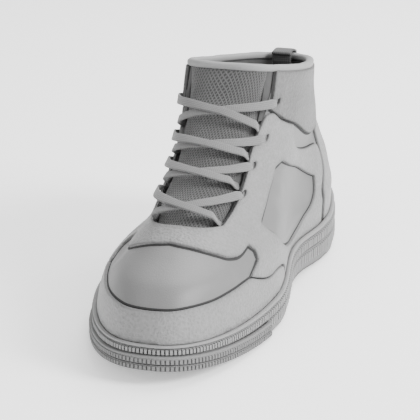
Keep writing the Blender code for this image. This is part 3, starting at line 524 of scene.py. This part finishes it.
def softCurve(points, step=0.0008, corner=38.0):  # curve through the points that keeps sharp corners
    flat = np.asarray(points, float) * flatScale
    leg = np.diff(flat, axis=0)
    size = np.linalg.norm(leg, axis=1)
    way = leg / size[:, None]
    ahead, behind = [way[0]], [way[0]]
    for i in range(1, len(flat) - 1):
        bend = math.degrees(math.acos(max(-1.0, min(1.0, float(way[i - 1] @ way[i])))))
        mean = way[i - 1] * size[i] + way[i] * size[i - 1]
        mean = mean / np.linalg.norm(mean)
        ahead.append(way[i] if bend > corner else mean)
        behind.append(way[i - 1] if bend > corner else mean)
    behind.append(way[-1])
    curve = []
    for i in range(len(leg)):
        count = max(2, int(size[i] / step))
        w = np.linspace(0, 1, count, endpoint=False)[:, None]
        curve.append(hermite(w, flat[i], flat[i + 1], ahead[i] * size[i], behind[i + 1] * size[i]))
    return np.concatenate(curve + [flat[-1:]]) / flatScale


def flipped(curve):  # the same curve on the lateral side
    return np.stack([1 - curve[:, 0], curve[:, 1]], axis=1)


def mirrored(curve):  # on the lateral side and run backwards
    return flipped(curve)[::-1]


curves = {name: softCurve(points) for name, points in outlines.items()}


def joinCurves(*parts):  # one closed loop, with its corners a little rounded
    loop = np.concatenate([part[:-1] for part in parts])
    for _ in range(3):
        loop = 0.5 * loop + 0.25 * (np.roll(loop, 1, axis=0) + np.roll(loop, -1, axis=0))
    return loop


def flatOf(loop):
    return np.stack([runAt(loop[:, 0]), loop[:, 1] * flatScale[1]], axis=1)


def within(points, loop):
    inside = np.zeros(len(points), bool)
    x, y = points[:, 0], points[:, 1]
    for (x0, y0), (x1, y1) in zip(loop, np.roll(loop, -1, axis=0)):
        hit = (y0 > y) != (y1 > y)
        if hit.any():
            inside ^= hit & (x < x0 + (y - y0) * (x1 - x0) / (y1 - y0 if y1 != y0 else 1e-12))
    return inside


def turnLevel(flat):
    whole = np.floor(flat[:, 0] / perimeter)
    return turnAt(flat[:, 0] - whole * perimeter) + whole, flat[:, 1] / flatScale[1]


panelSizes = {"edgeRadius": 0.0006, "rings": (0.0002, 0.0005, 0.0011), "pitch": (0.0030, 0.0026), "keepOff": 0.0017,
              "sink": 0.0002, "shadeWidth": 0.0012, "step": 0.0004}


def inPanel(points, flats):  # within the outline and outside its holes
    keep = within(points, flats[0])
    for hole in flats[1:]:
        keep &= ~within(points, hole)
    return keep


def rimDistance(tree, places):
    return np.array([tree.find(place)[2] for place in places]) if len(places) else np.zeros(0)


def panelPiece(name, loops, thickness, materialName, nodes):
    # leather panel on the last, cut along its loops, with a rounded edge and a closed back
    flats = [flatOf(loop) for loop in loops]
    rims = [onLast(*loop.T)[0] for loop in loops]
    tree = KDTree(sum(len(rim) for rim in rims))
    for i, point in enumerate(np.concatenate(rims)):
        tree.insert(point, i)
    tree.balance()
    extra = []
    for flat, rim, loop in zip(flats, rims, loops):
        around = np.roll(rim, -1, axis=0) - np.roll(rim, 1, axis=0)
        inward = np.cross(onLast(*loop.T)[1], around)
        inward /= np.linalg.norm(inward, axis=1, keepdims=True)
        step = panelSizes["step"]
        turnV, levelV = turnLevel(flat + [0, step])
        du = (onLast(*turnLevel(flat + [step, 0]))[0] - rim) / step
        dv = (onLast(turnV, np.minimum(levelV, 1.0))[0] - rim) / step
        a, b, c = (du * du).sum(1), (du * dv).sum(1), (dv * dv).sum(1)
        p, q = (du * inward).sum(1), (dv * inward).sum(1)
        det = np.maximum(a * c - b * b, 1e-9)
        move = np.stack([(c * p - b * q) / det, (a * q - b * p) / det], axis=1)
        for distance in panelSizes["rings"]:
            for side in (1, -1):
                extra.append((flat + side * move * distance, distance * 0.75))
    low, high = flats[0].min(axis=0), flats[0].max(axis=0)
    xs, ys = [np.arange(low[k], high[k], panelSizes["pitch"][k]) for k in (0, 1)]
    grid = np.array([(x + (j % 2) * panelSizes["pitch"][0] / 2, y) for j, y in enumerate(ys) for x in xs])
    extra.append((grid, panelSizes["keepOff"]))
    kept = [np.concatenate(flats)]
    for points, off in extra:
        points = points[inPanel(points, flats)]
        kept.append(points[rimDistance(tree, onLast(*turnLevel(points))[0]) > off])
    edges, start = [], 0
    for flat in flats:
        edges += [(start + i, start + (i + 1) % len(flat)) for i in range(len(flat))]
        start += len(flat)
    corners, _, cells, _, _, _ = delaunay_2d_cdt([Vector(p) for p in np.concatenate(kept)], edges, [], 0, 0.00002)
    corners = np.array([(p[0], p[1]) for p in corners])
    cells = np.array([list(cell) for cell in cells])
    cells = cells[inPanel(corners[cells].mean(axis=1), flats)]
    place, normal = onLast(*turnLevel(corners))
    far = rimDistance(tree, place)
    w = np.clip(far / panelSizes["edgeRadius"], 0, 1)
    radius = min(panelSizes["edgeRadius"], thickness * 0.6)
    height = thickness - radius + radius * np.sqrt(np.maximum(1 - (1 - w) ** 2, 0))
    top, back = place + normal * height[:, None], place - normal * panelSizes["sink"]
    one, two, three = [top[cells[:, k]] for k in range(3)]
    turned = (np.cross(two - one, three - one) * normal[cells[:, 0]]).sum(axis=1) < 0
    cells[turned] = cells[turned][:, ::-1]
    used = np.unique(cells)
    number = {int(old): new for new, old in enumerate(used)}
    skin = [tuple(number[int(i)] for i in cell) for cell in cells]
    count = len(used)
    faces = skin + [tuple(i + count for i in reversed(cell)) for cell in skin]
    directed = {(cell[i], cell[(i + 1) % 3]) for cell in skin for i in range(3)}
    faces += [(b, a, a + count, b + count) for a, b in sorted(directed) if (b, a) not in directed]
    mesh = bpy.data.meshes.new(name)
    mesh.from_pydata(np.concatenate([top[used], back[used]]).tolist(), [], faces)
    # painted shade: each panel darkens within shadeWidth of its rim, where it meets what is under it
    setPaintedShade(mesh, np.tile(np.exp(-(far[used] / panelSizes["shadeWidth"]) ** 2), 2))
    piece = bpy.data.objects.new(name, mesh)
    bpy.context.scene.collection.objects.link(piece)
    return finishPiece(piece, materialName, nodes)


# Upper: shell on the last with a lining face, open at the throat, the collar and underneath
upperSizes = {"wall": 0.002, "overlay": 0.0016, "cuff": 0.0019, "roll": (0.0050, 0.0042), "low": 0.05}


def throatFace(row, column):
    turn, level = float(turnAt(column * perimeter)), upperSizes["low"] + (1 - upperSizes["low"]) * row
    front = 0.384 if level < 0.83 else 0.384 + (level - 0.83) * 0.035
    return front < turn < 1 - front and level > 0.428 and (level > 0.47 or 0.404 < turn < 0.596)


def buildUpper():
    turns = evenTurns(420)
    levels = np.linspace(upperSizes["low"], 0.997, 110)
    points = np.array([onLast(turns, level)[0] for level in levels])
    piece = gridPiece("upper_shell", points, closed=(True, False), drop=throatFace)
    centre = np.array(points.mean(axis=(0, 1)))
    faces = [piece.data.polygons[i] for i in range(0, len(piece.data.polygons), 37)]
    total = sum((np.array(face.center) - centre)[:2] @ np.array(face.normal)[:2] for face in faces)
    if total < 0:
        editAll(piece, bpy.ops.mesh.flip_normals)
    piece.data.materials.append(materials["smoothLeather"])
    piece.data.materials.append(materials["liningCloth"])
    applyModifier(piece, "SOLIDIFY", thickness=upperSizes["wall"], offset=-1.0, material_offset=1,
                  use_even_offset=False)
    finishPiece(piece, "smoothLeather", ["upper"])


liningSizes = {"levels": (0.42, 0.985), "outer": -0.0028, "inner": -0.0020, "throat": (0.405, 0.595)}


def buildLining():
    turns = evenTurns(300)
    outside, inside = [], []
    for level in np.linspace(*liningSizes["levels"], 60):
        soft = 0.0005 * np.sin(turns * 2 * np.pi * 5 + level * 9) * np.sin(level * 11)
        soft += 0.0004 * np.sin(turns * 2 * np.pi * 11 + level * 17)
        outside.append(onLast(turns, level, liningSizes["outer"] + soft)[0])
        inside.append(onLast(turns, level, liningSizes["inner"])[0])
    low, high = liningSizes["throat"]
    piece = gridPiece("collar_lining", np.array(outside + inside[::-1]), closed=(True, True),
                      drop=lambda row, column: low < float(turnAt(column * perimeter)) < high)
    finishPiece(piece, "liningCloth", [])


tongueSizes = {"turns": (0.352, 0.648), "levels": (0.405, 0.998), "sink": 0.0026, "crown": 0.0022, "pad": 0.0006,
               "thickness": 0.0034}


def buildTongue():
    t, l = np.meshgrid(np.linspace(*tongueSizes["turns"], 230), np.linspace(*tongueSizes["levels"], 230))
    inner = ease(0.389, 0.425, np.minimum(t, 1 - t)) * ease(0.42, 0.52, l)
    pad = tongueSizes["pad"] * np.sin((l - 0.40) * 24) * inner
    offset = -tongueSizes["sink"] + tongueSizes["crown"] * inner + pad
    outside = onLast(t, l, offset)[0]
    under = onLast(t[::9], l[::9], offset[::9] - tongueSizes["thickness"])[0]
    piece = gridPiece("tongue_knit", np.concatenate([outside, under[::-1]]), closed=(False, True))
    closeHoles(piece)
    finishPiece(piece, "knitMesh", ["tongue"], recalc=True)


gussetSizes = {"low": (0.386, 0.795), "high": (0.404, 0.999), "turns": (-0.012, 0.016), "sink": 0.0009,
               "crown": 0.0007, "thickness": 0.0016}


def buildGussets():  # smooth strips between the knit and the cuff
    made = []
    first, last = gussetSizes["turns"]
    up, across = np.linspace(0, 1, 60)[:, None], np.linspace(first, last, 14)[None]
    (lowTurn, lowLevel), (highTurn, highLevel) = gussetSizes["low"], gussetSizes["high"]
    t = lowTurn + (highTurn - lowTurn) * up + across * (0.5 + 0.5 * up)
    level = lowLevel + (highLevel - lowLevel) * up + 0 * across
    arch = np.sin(np.pi * (across - first) / (last - first))
    crown = -gussetSizes["sink"] + gussetSizes["crown"] * arch + 0 * level
    for turns in (t, 1 - t):
        outside = onLast(turns, level, crown)[0]
        under = onLast(turns, level, crown - gussetSizes["thickness"])[0]
        piece = gridPiece("gusset", np.concatenate([outside, under[::-1]]), closed=(False, True))
        closeHoles(piece)
        made.append(piece)
    joinPieces(made, "tongue_gussets")
    finishPiece(made[0], "liningCloth", [], recalc=True)


def joinPieces(pieces, name):
    only(pieces[0])
    for piece in pieces[1:]:
        piece.select_set(True)
    bpy.ops.object.join()
    pieces[0].name = pieces[0].data.name = name


eyeletSizes = {"width": 0.0046, "corners": 24, "turn": 0.50, "level": 0.18}  # metres for a whole turn and level


def roundHole(turn, level):
    angle = np.linspace(0, 2 * np.pi, eyeletSizes["corners"], endpoint=False)
    half = eyeletSizes["width"] / 2
    return np.stack([turn + np.cos(angle) * half / eyeletSizes["turn"],
                     level + np.sin(angle) * half / eyeletSizes["level"]], axis=1)


def aroundHeel(curve):  # on the lateral side of the heel and run backwards
    return np.stack([-curve[::-1, 0], curve[::-1, 1]], axis=1)


def buildPanels():
    guardSeam, guardTop, shrink = curves["guardSeam"], curves["guardTop"], 0.0030
    top = np.concatenate([guardTop, mirrored(guardTop)[1:]]) - [0, shrink]
    seam = guardSeam + [0.0012, -shrink]
    guard = joinCurves(seam[::-1], top[1:], flipped(seam)[1:], np.array([flipped(seam)[-1], (0.5, 0.085), seam[-1]]))
    panelPiece("mudguard_panel", [guard], upperSizes["overlay"], "leather", ["mudguard"])
    toe, rear, quarterTop, throat = [curves[name] for name in ("toeBox", "quarterRear", "quarterTop", "throat")]
    # round from the toe box along the lateral side to the throat and back along the medial side
    outline = joinCurves(
        np.concatenate([toe[::-1], flipped(toe)[1:]]), flipped(guardSeam), flipped(np.array([guardSeam[-1], rear[0]])),
        flipped(rear), flipped(quarterTop), flipped(throat), throat[::-1], quarterTop[::-1], rear[::-1],
        np.array([rear[0], guardSeam[-1]]), guardSeam[::-1])
    holes = [joinCurves(curves["window"]), joinCurves(mirrored(curves["window"]))]
    holes += [roundHole(place, level) for turn, level in eyelets[:-1] for place in (turn, 1 - turn)]
    panelPiece("quarter_panel", [outline] + holes, upperSizes["overlay"], "leather", ["quarter_overlay"])
    print("quarter ready")
    counter = curves["counter"]
    heel = joinCurves(counter, aroundHeel(counter), np.array([aroundHeel(counter)[-1], counter[0]]))
    panelPiece("heel_panel", [heel], upperSizes["overlay"], "leather", ["heel_counter"])
    low, front = curves["cuffLow"], curves["cuffFront"]
    top = softCurve(((0.392, 0.999), (0.20, 0.999), (0.0, 0.999)))
    cuff = joinCurves(low, front, top, aroundHeel(top), aroundHeel(front), aroundHeel(low))
    turn, level = eyelets[-1]
    panelPiece("cuff_panel", [cuff, roundHole(turn, level), roundHole(-turn, level)], upperSizes["cuff"],
               "cuffLeather", ["ankle_cuff"])


# Painted shadow: dark lines where a panel's edge meets what is under it: curve, width in metres, the end where it runs
# on to the lateral side, and its share of the width at its other end
paintedShadowLines = (
    ("toeBox", 0.0031, "first", 0.5), ("guardTop", 0.0015, "last", 0.9), ("guardSeam", 0.0012, "", 0.7),
    ("throat", 0.0016, "last", 0.9), ("cuffLow", 0.0026, "first", 0.9), ("cuffFront", 0.0018, "", 0.9),
    ("counter", 0.0017, "last", 0.9), ("quarterRear", 0.0017, "", 0.9),
)


# widths of the painted shadow round the window, wider where the overlay casts shade
windowShadow = {"places": (0, 0.05, 0.10, 0.45, 0.55, 0.70, 0.9, 1.0),
              "widths": (0.0026, 0.0017, 0.0011, 0.0011, 0.0020, 0.0032, 0.0031, 0.0027)}
shadowSizes = {"height": 0.00028, "lift": 0.00005, "sink": 0.0003}


# a near-black ribbon of painted shadow along a curve
def shadowRibbon(curve, widths):
    point, normal = onLast(*curve.T, shadowSizes["lift"])
    side = np.cross(normal, np.gradient(point, axis=0))
    side /= np.maximum(np.linalg.norm(side, axis=1, keepdims=True), 1e-9)
    across = np.linspace(-1, 1, 7)
    rows = [point + side * (a * widths / 2)[:, None] + normal * (shadowSizes["height"] * (1 - a * a)) for a in across]
    rows += [point + side * (a * widths / 2)[:, None] - normal * shadowSizes["sink"] for a in across[::-1]]
    rings = np.array(rows)
    return gridPiece("ribbon", capped(rings, rings.mean(axis=0)), closed=(False, True))


def buildPaintedShadows():
    made = []
    for name, width, runsOn, end in paintedShadowLines:
        curve = curves[name][::-1] if runsOn == "last" else curves[name]
        curve = np.concatenate([curve[:1], curve[2:-2:2], curve[-1:]])
        widths = width * (end + (1 - end) * ease(0, 0.15, np.linspace(1, 0, len(curve))))
        if runsOn:
            made.append(shadowRibbon(np.concatenate([mirrored(curve)[:-1], curve]),
                                   np.concatenate([widths[::-1][:-1], widths])))
        else:
            made += [shadowRibbon(side, widths) for side in (curve, flipped(curve))]
    curve = curves["window"]
    widths = smooth(windowShadow["places"], windowShadow["widths"], np.linspace(0, 1, len(curve)))
    made += [shadowRibbon(side, widths) for side in (curve, flipped(curve))]
    # the painted shadow lines as one near-black piece
    joinPieces(made, "painted_shadow_lines")
    finishPiece(made[0], "paintedShadow", [], recalc=True)


def buildRoll():
    turns = evenTurns(320)
    point, normal = onLast(turns, 1.0)
    normal = normal * [1, 1, 0]
    normal /= np.linalg.norm(normal, axis=1, keepdims=True)
    width, height = upperSizes["roll"]
    centre = point + normal * (0.0013 - width / 2)
    angle = np.linspace(0, 2 * np.pi, 28, endpoint=False)
    rows = []
    for a in angle:
        out = np.sign(np.cos(a)) * abs(np.cos(a)) ** 0.8 * width / 2
        up = (0.5 + 0.5 * np.sign(np.sin(a)) * abs(np.sin(a)) ** 0.8) * height - 0.0006
        soft = 1 + 0.025 * np.sin(turns * 2 * np.pi * 9 + 1) + 0.02 * np.sin(turns * 2 * np.pi * 17)
        rows.append(centre + normal * (out * soft)[:, None] + np.array([0, 0, 1.0]) * (up * soft)[:, None])
    piece = gridPiece("padded_roll", np.array(rows), closed=(True, True))
    finishPiece(piece, "rollCloth", ["collar_roll"], recalc=True)


laceSizes = {"width": 0.0050, "thickness": 0.0012, "clear": 0.0031, "lift": 0.0022, "over": 0.0008, "steps": 110}


def laceBand(start, end, lift, exitFirst):
    # one band from under the throat's edge to an eyelet, or the other way round
    w = np.linspace(0, 1, laceSizes["steps"])
    exitAt, holeAt = (np.array(start), np.array(end)) if exitFirst else (np.array(end), np.array(start))
    beyond = exitAt + (exitAt - holeAt) * 0.05
    place = beyond + (holeAt - beyond) * w[:, None]  # w runs from the exit to the hole
    straight = smooth((0, 0.07, 0.17, 1.0), (-0.0026, -0.0008, laceSizes["clear"], laceSizes["clear"]), w)
    dip = smooth((0, 0.90, 0.955, 1.0), (0, 0, 0.0009, 0.0046), w)
    offset = straight - dip + lift * np.sin(np.pi * w)
    point, normal = onLast(*place.T, offset)
    sides = np.cross(normal, np.gradient(point, axis=0))
    widths = laceSizes["width"] * (1 - 0.42 * ease(0.90, 1.0, w)) * (1 + 0.03 * np.sin(w * 23))
    thick = laceSizes["thickness"] * (1 + 0.25 * ease(0.92, 1.0, w))
    return band("lace_band", point, sides, widths, thick, around=20, square=4.5)


def buildLaces():
    for index, (exitAt, hole) in enumerate(zip(laceExits, eyelets)):
        made = [
            laceBand((1 - exitAt[0], exitAt[1]), hole, laceSizes["lift"], True),
            laceBand((1 - hole[0], hole[1]), exitAt, laceSizes["lift"] + laceSizes["over"] + 0.0006, False),
        ]
        joinPieces(made, "lace_%d" % (index + 1))
        finishPiece(made[0], "laceWeave", ["lace_crossing_%d" % (index + 1)], recalc=True)


loopSizes = {"width": 0.012, "thickness": 0.0014, "place": -0.0035, "foot": 0.90, "rise": 0.0016, "tail": 0.0140,
             "hollow": 0.28, "rollWidth": 0.0050, "rollHeight": 0.0038}


def buildLoop():
    half = loopSizes["thickness"] / 2
    fit = sole["fit"]
    aside = np.array([loopSizes["place"], 0, 0])
    rim = onLast(0.0, 1.0)[0] + aside
    outer = 0.0018 + 2 * fit + half + 0.0004
    back = loopSizes["hollow"] * loopSizes["width"]
    inner = -(loopSizes["rollWidth"] + fit + half) - back - 0.0002
    wall = -(0.0020 + fit + half) - back
    top = fit + loopSizes["rollHeight"]
    crown = top + loopSizes["rise"]
    steps = ((outer, 0.0), (outer, top), (outer / 2, crown - 0.0008), ((outer + inner) / 2, crown + 0.0004),
             (inner - outer / 2, crown - 0.0008), (inner, top), (inner, 0.0), (wall, -0.0052),
             (wall, -loopSizes["tail"]))
    path = []
    for level in (loopSizes["foot"], (loopSizes["foot"] + 1) / 2):
        point, normal = onLast(0.0, level)
        path.append(point + aside + normal * (outer + fit))
    path += [rim + np.array([0.0, out, up]) for out, up in steps]
    path = np.array(path)
    run = np.concatenate([[0], np.cumsum(np.linalg.norm(np.diff(path, axis=0), axis=1))])
    at = np.linspace(0, run[-1], 120)
    fine = np.stack([smooth(run, path[:, k], at) for k in range(3)], axis=1)
    for _ in range(4):
        fine[1:-1] = 0.5 * fine[1:-1] + 0.25 * (fine[:-2] + fine[2:])
    sides = np.tile([1.0, 0.0, 0.0], (len(fine), 1))
    piece = band("loop_webbing", fine, sides, np.full(len(fine), loopSizes["width"]),
                 np.full(len(fine), loopSizes["thickness"]), around=28, square=5.0)
    finishPiece(piece, "webbingWeave", ["pull_loop"], recalc=True)


# Sole: ribs and blocks are laid out by their pitch round the outline
ribSizes = {"side": 0.0030, "toe": 0.0021, "from": 0.60, "to": 0.82, "steps": (0.0, 0.20, 0.29, 0.60, 0.91)}
sideRows = (  # height as a share of the side, base depth in rib heights, ribs from 0 to 1
    (0.0, 0, 0), (0.02, 0.1, 0), (0.05, 0.1, 1), (0.20, 0, 1), (0.36, 0, 1), (0.395, 0, 0), (0.415, 0, 0),
    (0.43, -0.9, 0), (0.455, -0.9, 0), (0.47, 0, 0), (0.485, 0.1, 0), (0.51, 0, 1), (0.63, 0, 1), (0.75, 0, 1),
    (0.775, 0, 0), (0.795, 0, 0), (0.81, -0.9, 0), (0.835, -0.9, 0), (0.85, 0.25, 0), (0.87, 0.5, 0),
    (0.955, 0.5, 0), (0.98, 0.35, 0), (0.995, 0, 0), (1.0, -0.5, 0),
)


def ribTurns(start, end, pitchShare=1.0):
    # turns at the edges of ribs from one distance to another, with a height for each
    fine = np.linspace(start, end, 4000)
    turn = turnAt(fine)
    share = solePlan(turn)[1] / sole["length"]
    pitch = ribSizes["side"] + (ribSizes["toe"] - ribSizes["side"]) * ease(ribSizes["from"], ribSizes["to"], share)
    count = np.concatenate([[0], np.cumsum(np.diff(fine) / (pitch[:-1] * pitchShare))])
    total = int(round(count[-1] / 2)) * 2
    count *= total / count[-1]
    marks = np.array([i + f for i in range(total) for f in ribSizes["steps"]])
    draw = np.random.default_rng(7)
    amounts = np.repeat(0.84 + 0.16 * draw.random(total), len(ribSizes["steps"]))
    amounts *= np.tile((0.0, 0.0, 1.0, 1.0, 1.0), total)
    return turnAt(np.interp(marks, count, fine)), amounts


def sideRing(turns, out, z):
    x, s = solePlan(turns)
    nx, ns = sideNormals(turns)
    return np.stack([x + nx * out, sole["length"] / 2 - (s + ns * out), z], axis=-1) + shoeShift


def sideNormals(turns):
    nx, ns = planNormals(outlineX[:-1], outlineS[:-1])
    at = np.asarray(turns) % 1.0
    x = np.interp(at, outlineTurns, np.append(nx, nx[0]))
    s = np.interp(at, outlineTurns, np.append(ns, ns[0]))
    size = np.hypot(x, s)
    return x / size, s / size


def buildMidsole():
    turns, amounts = ribTurns(0, perimeter)
    s = solePlan(turns)[1]
    low = rise(s) + sole["outsole"] + 0.0001
    high = lip(s)
    rib = sole["ribHeight"]
    behind = ease(sole["wrapStart"] - 0.01, sole["wrapStart"] + 0.01, s / sole["length"])
    rings, paintedShades = [], []
    for height, out, ribbed in sideRows:
        lower = height < 0.42
        amount = ribbed * amounts * (1 - behind * lower)
        depth = (out + amount) * rib - 0.0003 * behind * lower
        rings.append(sideRing(turns, depth, low + (high - low) * height))
        # painted shade: the valleys between ribs and the deep grooves are darker
        inBand = 0.05 <= height <= 0.36 or 0.51 <= height <= 0.75
        paintedShades.append((1 - np.minimum(amount / 0.8, 1)) * (1.0 if inBand else 0) + (1.0 if out < -0.5 else 0))
    seat = onLast(turns, 0.1, 0.0013)[0]
    rings.append((rings[-1] * 0.35 + seat * 0.65) - [0, 0, 0.0002])
    rings += [seat - [0, 0, 0.0012], onLast(turns, 0.03, 0.0003)[0]]
    paintedShades += [np.zeros_like(turns)] * (len(rings) - len(paintedShades))
    piece = gridPiece("midsole_ribbed", np.array(rings), closed=(True, False), shade=np.array(paintedShades))
    closeHoles(piece)
    finishPiece(piece, "soleRubber", ["midsole"], angle=32, recalc=True)


wrapRows = (  # height as a share of the wrap's, depth from its face in metres, blocks from 0 to 1
    (0.05, -0.0010, 0), (0.06, -0.0002, 0), (0.09, 0, 0), (0.125, 0, 1), (0.25, 0, 1), (0.375, 0, 1), (0.41, 0, 0),
    (0.44, 0, 0), (0.455, -0.0006, 0), (0.485, -0.0006, 0), (0.50, 0, 0), (0.53, 0, 0), (0.565, 0, 1), (0.69, 0, 1),
    (0.80, 0, 1), (0.835, 0, 0), (0.87, 0, 0), (0.96, 0, 0), (0.985, -0.0003, 0), (1.0, -0.0009, 0),
)


def buildWrap():
    share = solePlan(outlineTurns)[1] / sole["length"]
    covered = outlineRun[share > sole["wrapStart"] - 0.012]
    start, end = float(covered.min()), float(covered.max())
    turns, amounts = ribTurns(start, end, 1.02)
    turns = np.append(turns, turnAt(end))
    amounts = np.append(amounts, 0.0)
    run = runAt(turns)
    taper = ease(0, 0.005, run - start) * ease(0, 0.005, end - run)
    s = solePlan(turns)[1]
    fit, thick = sole["fit"], sole["wrapThickness"]
    rings, paintedShades = [], []
    for height, out, blocks in wrapRows:
        depth = fit + (thick + out + blocks * amounts * sole["blockHeight"] * 1.15) * taper
        rings.append(sideRing(turns, depth, rise(s) + sole["wrapHeight"] * height))
        # painted shade: the gaps between blocks and the grooves are darker
        paintedShades.append((1 - amounts) * 0.8 * blocks + (1.0 if out == -0.0006 or height in (0.09, 0.53) else 0))
    for height in (1.0, 0.5, 0.05):
        rings.append(sideRing(turns, fit * 0.5, rise(s) + sole["wrapHeight"] * height))
    paintedShades += [np.zeros_like(turns)] * (len(rings) - len(paintedShades))
    piece = gridPiece("toe_wrap_blocks", np.array(rings), closed=(False, True), shade=np.array(paintedShades))
    mergeClose(piece, 0.00002)
    finishPiece(piece, "treadRubber", ["toe_wrap"], angle=32, recalc=True)


treadSizes = {"pitch": 0.0062, "groove": 0.24, "zig": 0.0085, "lean": 0.55, "edge": 0.0042, "heelEnd": 0.25,
              "foreFrom": 0.47, "foreTo": 0.96, "edgeRise": 0.0007, "edgeWidth": 0.0008}


def treadDepth(x, y, s, edge):
    # height of the tread over its lowest face, with zigzag grooves between the lugs
    share = s / sole["length"]
    wave = np.abs(((x / treadSizes["zig"]) % 2) - 1) * treadSizes["zig"] * treadSizes["lean"]
    phase = ((y + wave) / treadSizes["pitch"]) % 1
    groove = ease(0, 0.1, phase) * (1 - ease(treadSizes["groove"], treadSizes["groove"] + 0.1, phase))
    groove = groove * ease(treadSizes["edge"] * 0.7, treadSizes["edge"], edge)
    onLugs = 1 - ease(treadSizes["heelEnd"] - 0.01, treadSizes["heelEnd"], share)
    onLugs = np.maximum(onLugs, ease(treadSizes["foreFrom"], treadSizes["foreFrom"] + 0.01, share)
                        * (1 - ease(treadSizes["foreTo"] - 0.01, treadSizes["foreTo"], share)))
    return sole["lugDepth"] * np.maximum(groove, 1 - onLugs)


def upBy(height):
    return np.stack([0 * height, 0 * height, height], axis=-1)


def medialTurns(count):
    return turnAt(np.linspace(0, float(runAt(0.5)), count))


def buildOutsole():
    turns = medialTurns(420)
    left, right = sideRing(1 - turns, 0.0, 0 * turns), sideRing(turns, 0.0, 0 * turns)
    s = solePlan(turns)[1]
    base, thick = rise(s), sole["outsole"]
    wide = np.linalg.norm(right - left, axis=1)
    rows = []
    for a in np.concatenate([[0.0], np.linspace(0.004, 0.996, 100), [1.0]]):
        point = left * (1 - a) + right * a
        edge = np.minimum(a, 1 - a) * wide
        softEdge = treadSizes["edgeRise"] * (1 - ease(0, treadSizes["edgeWidth"], edge))
        rows.append(point + upBy(base + treadDepth(point[:, 0], point[:, 1], s, edge) + softEdge))
    for lift, pull in ((0.0012, 0.0), (0.0032, 0.0), (thick - 0.0004, 0.0), (thick, 0.0004)):
        rows.append(right + (left - right) * pull + upBy(base + lift))
    for lift in (thick, thick - 0.0004, 0.0032, 0.0012):
        rows.append(left + upBy(base + lift))
    piece = gridPiece("outsole_tread", np.array(rows), closed=(False, True))
    mergeClose(piece, 0.000005)
    finishPiece(piece, "treadRubber", ["outsole"], angle=40, recalc=True)


footbedSizes = {"sink": 0.0023, "thickness": 0.003, "rim": 0.00104}


def buildFootbed():
    turns = medialTurns(200)
    left, right = [onLast(side, 0.0, -footbedSizes["sink"])[0] for side in (1 - turns, turns)]
    rows = []
    for a in np.linspace(0, 1, 60):
        point = left * (1 - a) + right * a
        rimUp = footbedSizes["rim"] * (1 - ease(0, 0.12, min(a, 1 - a)))
        soft = 0.0002 * np.sin(point[:, 1] * 260) * np.sin(a * np.pi)
        rows.append(point + upBy(footbedSizes["thickness"] + rimUp + soft))
    rows += [right, left * 0.5 + right * 0.5, left]
    piece = gridPiece("footbed", np.array(rows), closed=(False, True))
    mergeClose(piece, 0.000005)
    finishPiece(piece, "liningCloth", ["insole"], recalc=True)


# Camera at the photo's angle, soft studio light and a pale floor
cameraSizes = {"place": (0.3044, -0.9027, 0.3435), "pixel": (272, 238), "photoFocal": 1201, "focal": 1740,
               "azimuth": 22.05, "elevation": 15.986, "picture": 420, "sensor": 36}
stageSizes = {"floor": 8.0, "floorHeight": -0.0002, "floorGrey": 0.95, "floorGlow": 0.45, "world": 0.9}
lights = (  # place, size, watts
    ((1.3, -0.1, 0.9), 0.6, 40), ((-0.6, -1.5, 1.2), 0.9, 9), ((0.2, 0.9, 1.4), 1.2, 34),
)
lightsAim = Vector((0, 0, 0.06))


def buildStage():
    azimuth, elevation = math.radians(cameraSizes["azimuth"]), math.radians(cameraSizes["elevation"])
    back = Vector((math.sin(azimuth) * math.cos(elevation), -math.cos(azimuth) * math.cos(elevation),
                   math.sin(elevation)))
    right = Vector((math.cos(azimuth), math.sin(azimuth), 0))
    up = back.cross(right)
    aside, down = [(p - cameraSizes["picture"] / 2) / cameraSizes["photoFocal"] for p in cameraSizes["pixel"]]
    aim = -back + right * aside - up * down
    data = bpy.data.cameras.new("camera")
    data.sensor_width = cameraSizes["sensor"]
    data.lens = cameraSizes["sensor"] * cameraSizes["focal"] / cameraSizes["picture"]
    camera = bpy.data.objects.new("camera", data)
    camera.location = cameraSizes["place"]
    camera.rotation_euler = aim.to_track_quat("-Z", "Y").to_euler()
    bpy.context.scene.collection.objects.link(camera)
    bpy.context.scene.camera = camera
    only(None)
    bpy.ops.mesh.primitive_plane_add(size=stageSizes["floor"], location=(0, 0, stageSizes["floorHeight"]))
    floor = bpy.context.active_object
    floor.name = "studio_floor"
    material, tree, shader = newMaterial("paleFloor", 0.9)
    shader.inputs["Base Color"].default_value = (*[stageSizes["floorGrey"]] * 3, 1)
    shader.inputs["Emission Color"].default_value = (1, 1, 1, 1)
    shader.inputs["Emission Strength"].default_value = stageSizes["floorGlow"]
    floor.data.materials.append(material)
    world = bpy.data.worlds.new("studio")
    world.use_nodes = True
    sky = world.node_tree.nodes["Background"].inputs
    sky["Color"].default_value = (1, 1, 1, 1)
    sky["Strength"].default_value = stageSizes["world"]
    bpy.context.scene.world = world
    for place, size, watts in lights:
        lamp = bpy.data.lights.new("softbox", "AREA")
        lamp.shape = "SQUARE"
        lamp.size = size
        lamp.energy = watts
        thing = bpy.data.objects.new("softbox", lamp)
        thing.location = place
        thing.rotation_euler = (lightsAim - Vector(place)).to_track_quat("-Z", "Y").to_euler()
        bpy.context.scene.collection.objects.link(thing)


buildStage()
buildOutsole()
buildMidsole()
buildWrap()
print("sole ready")
buildUpper()
buildLining()
buildFootbed()
buildTongue()
buildGussets()
print("upper ready")
buildPanels()
buildPaintedShadows()
print("panels ready")
buildRoll()
buildLaces()
buildLoop()
print("laces ready")
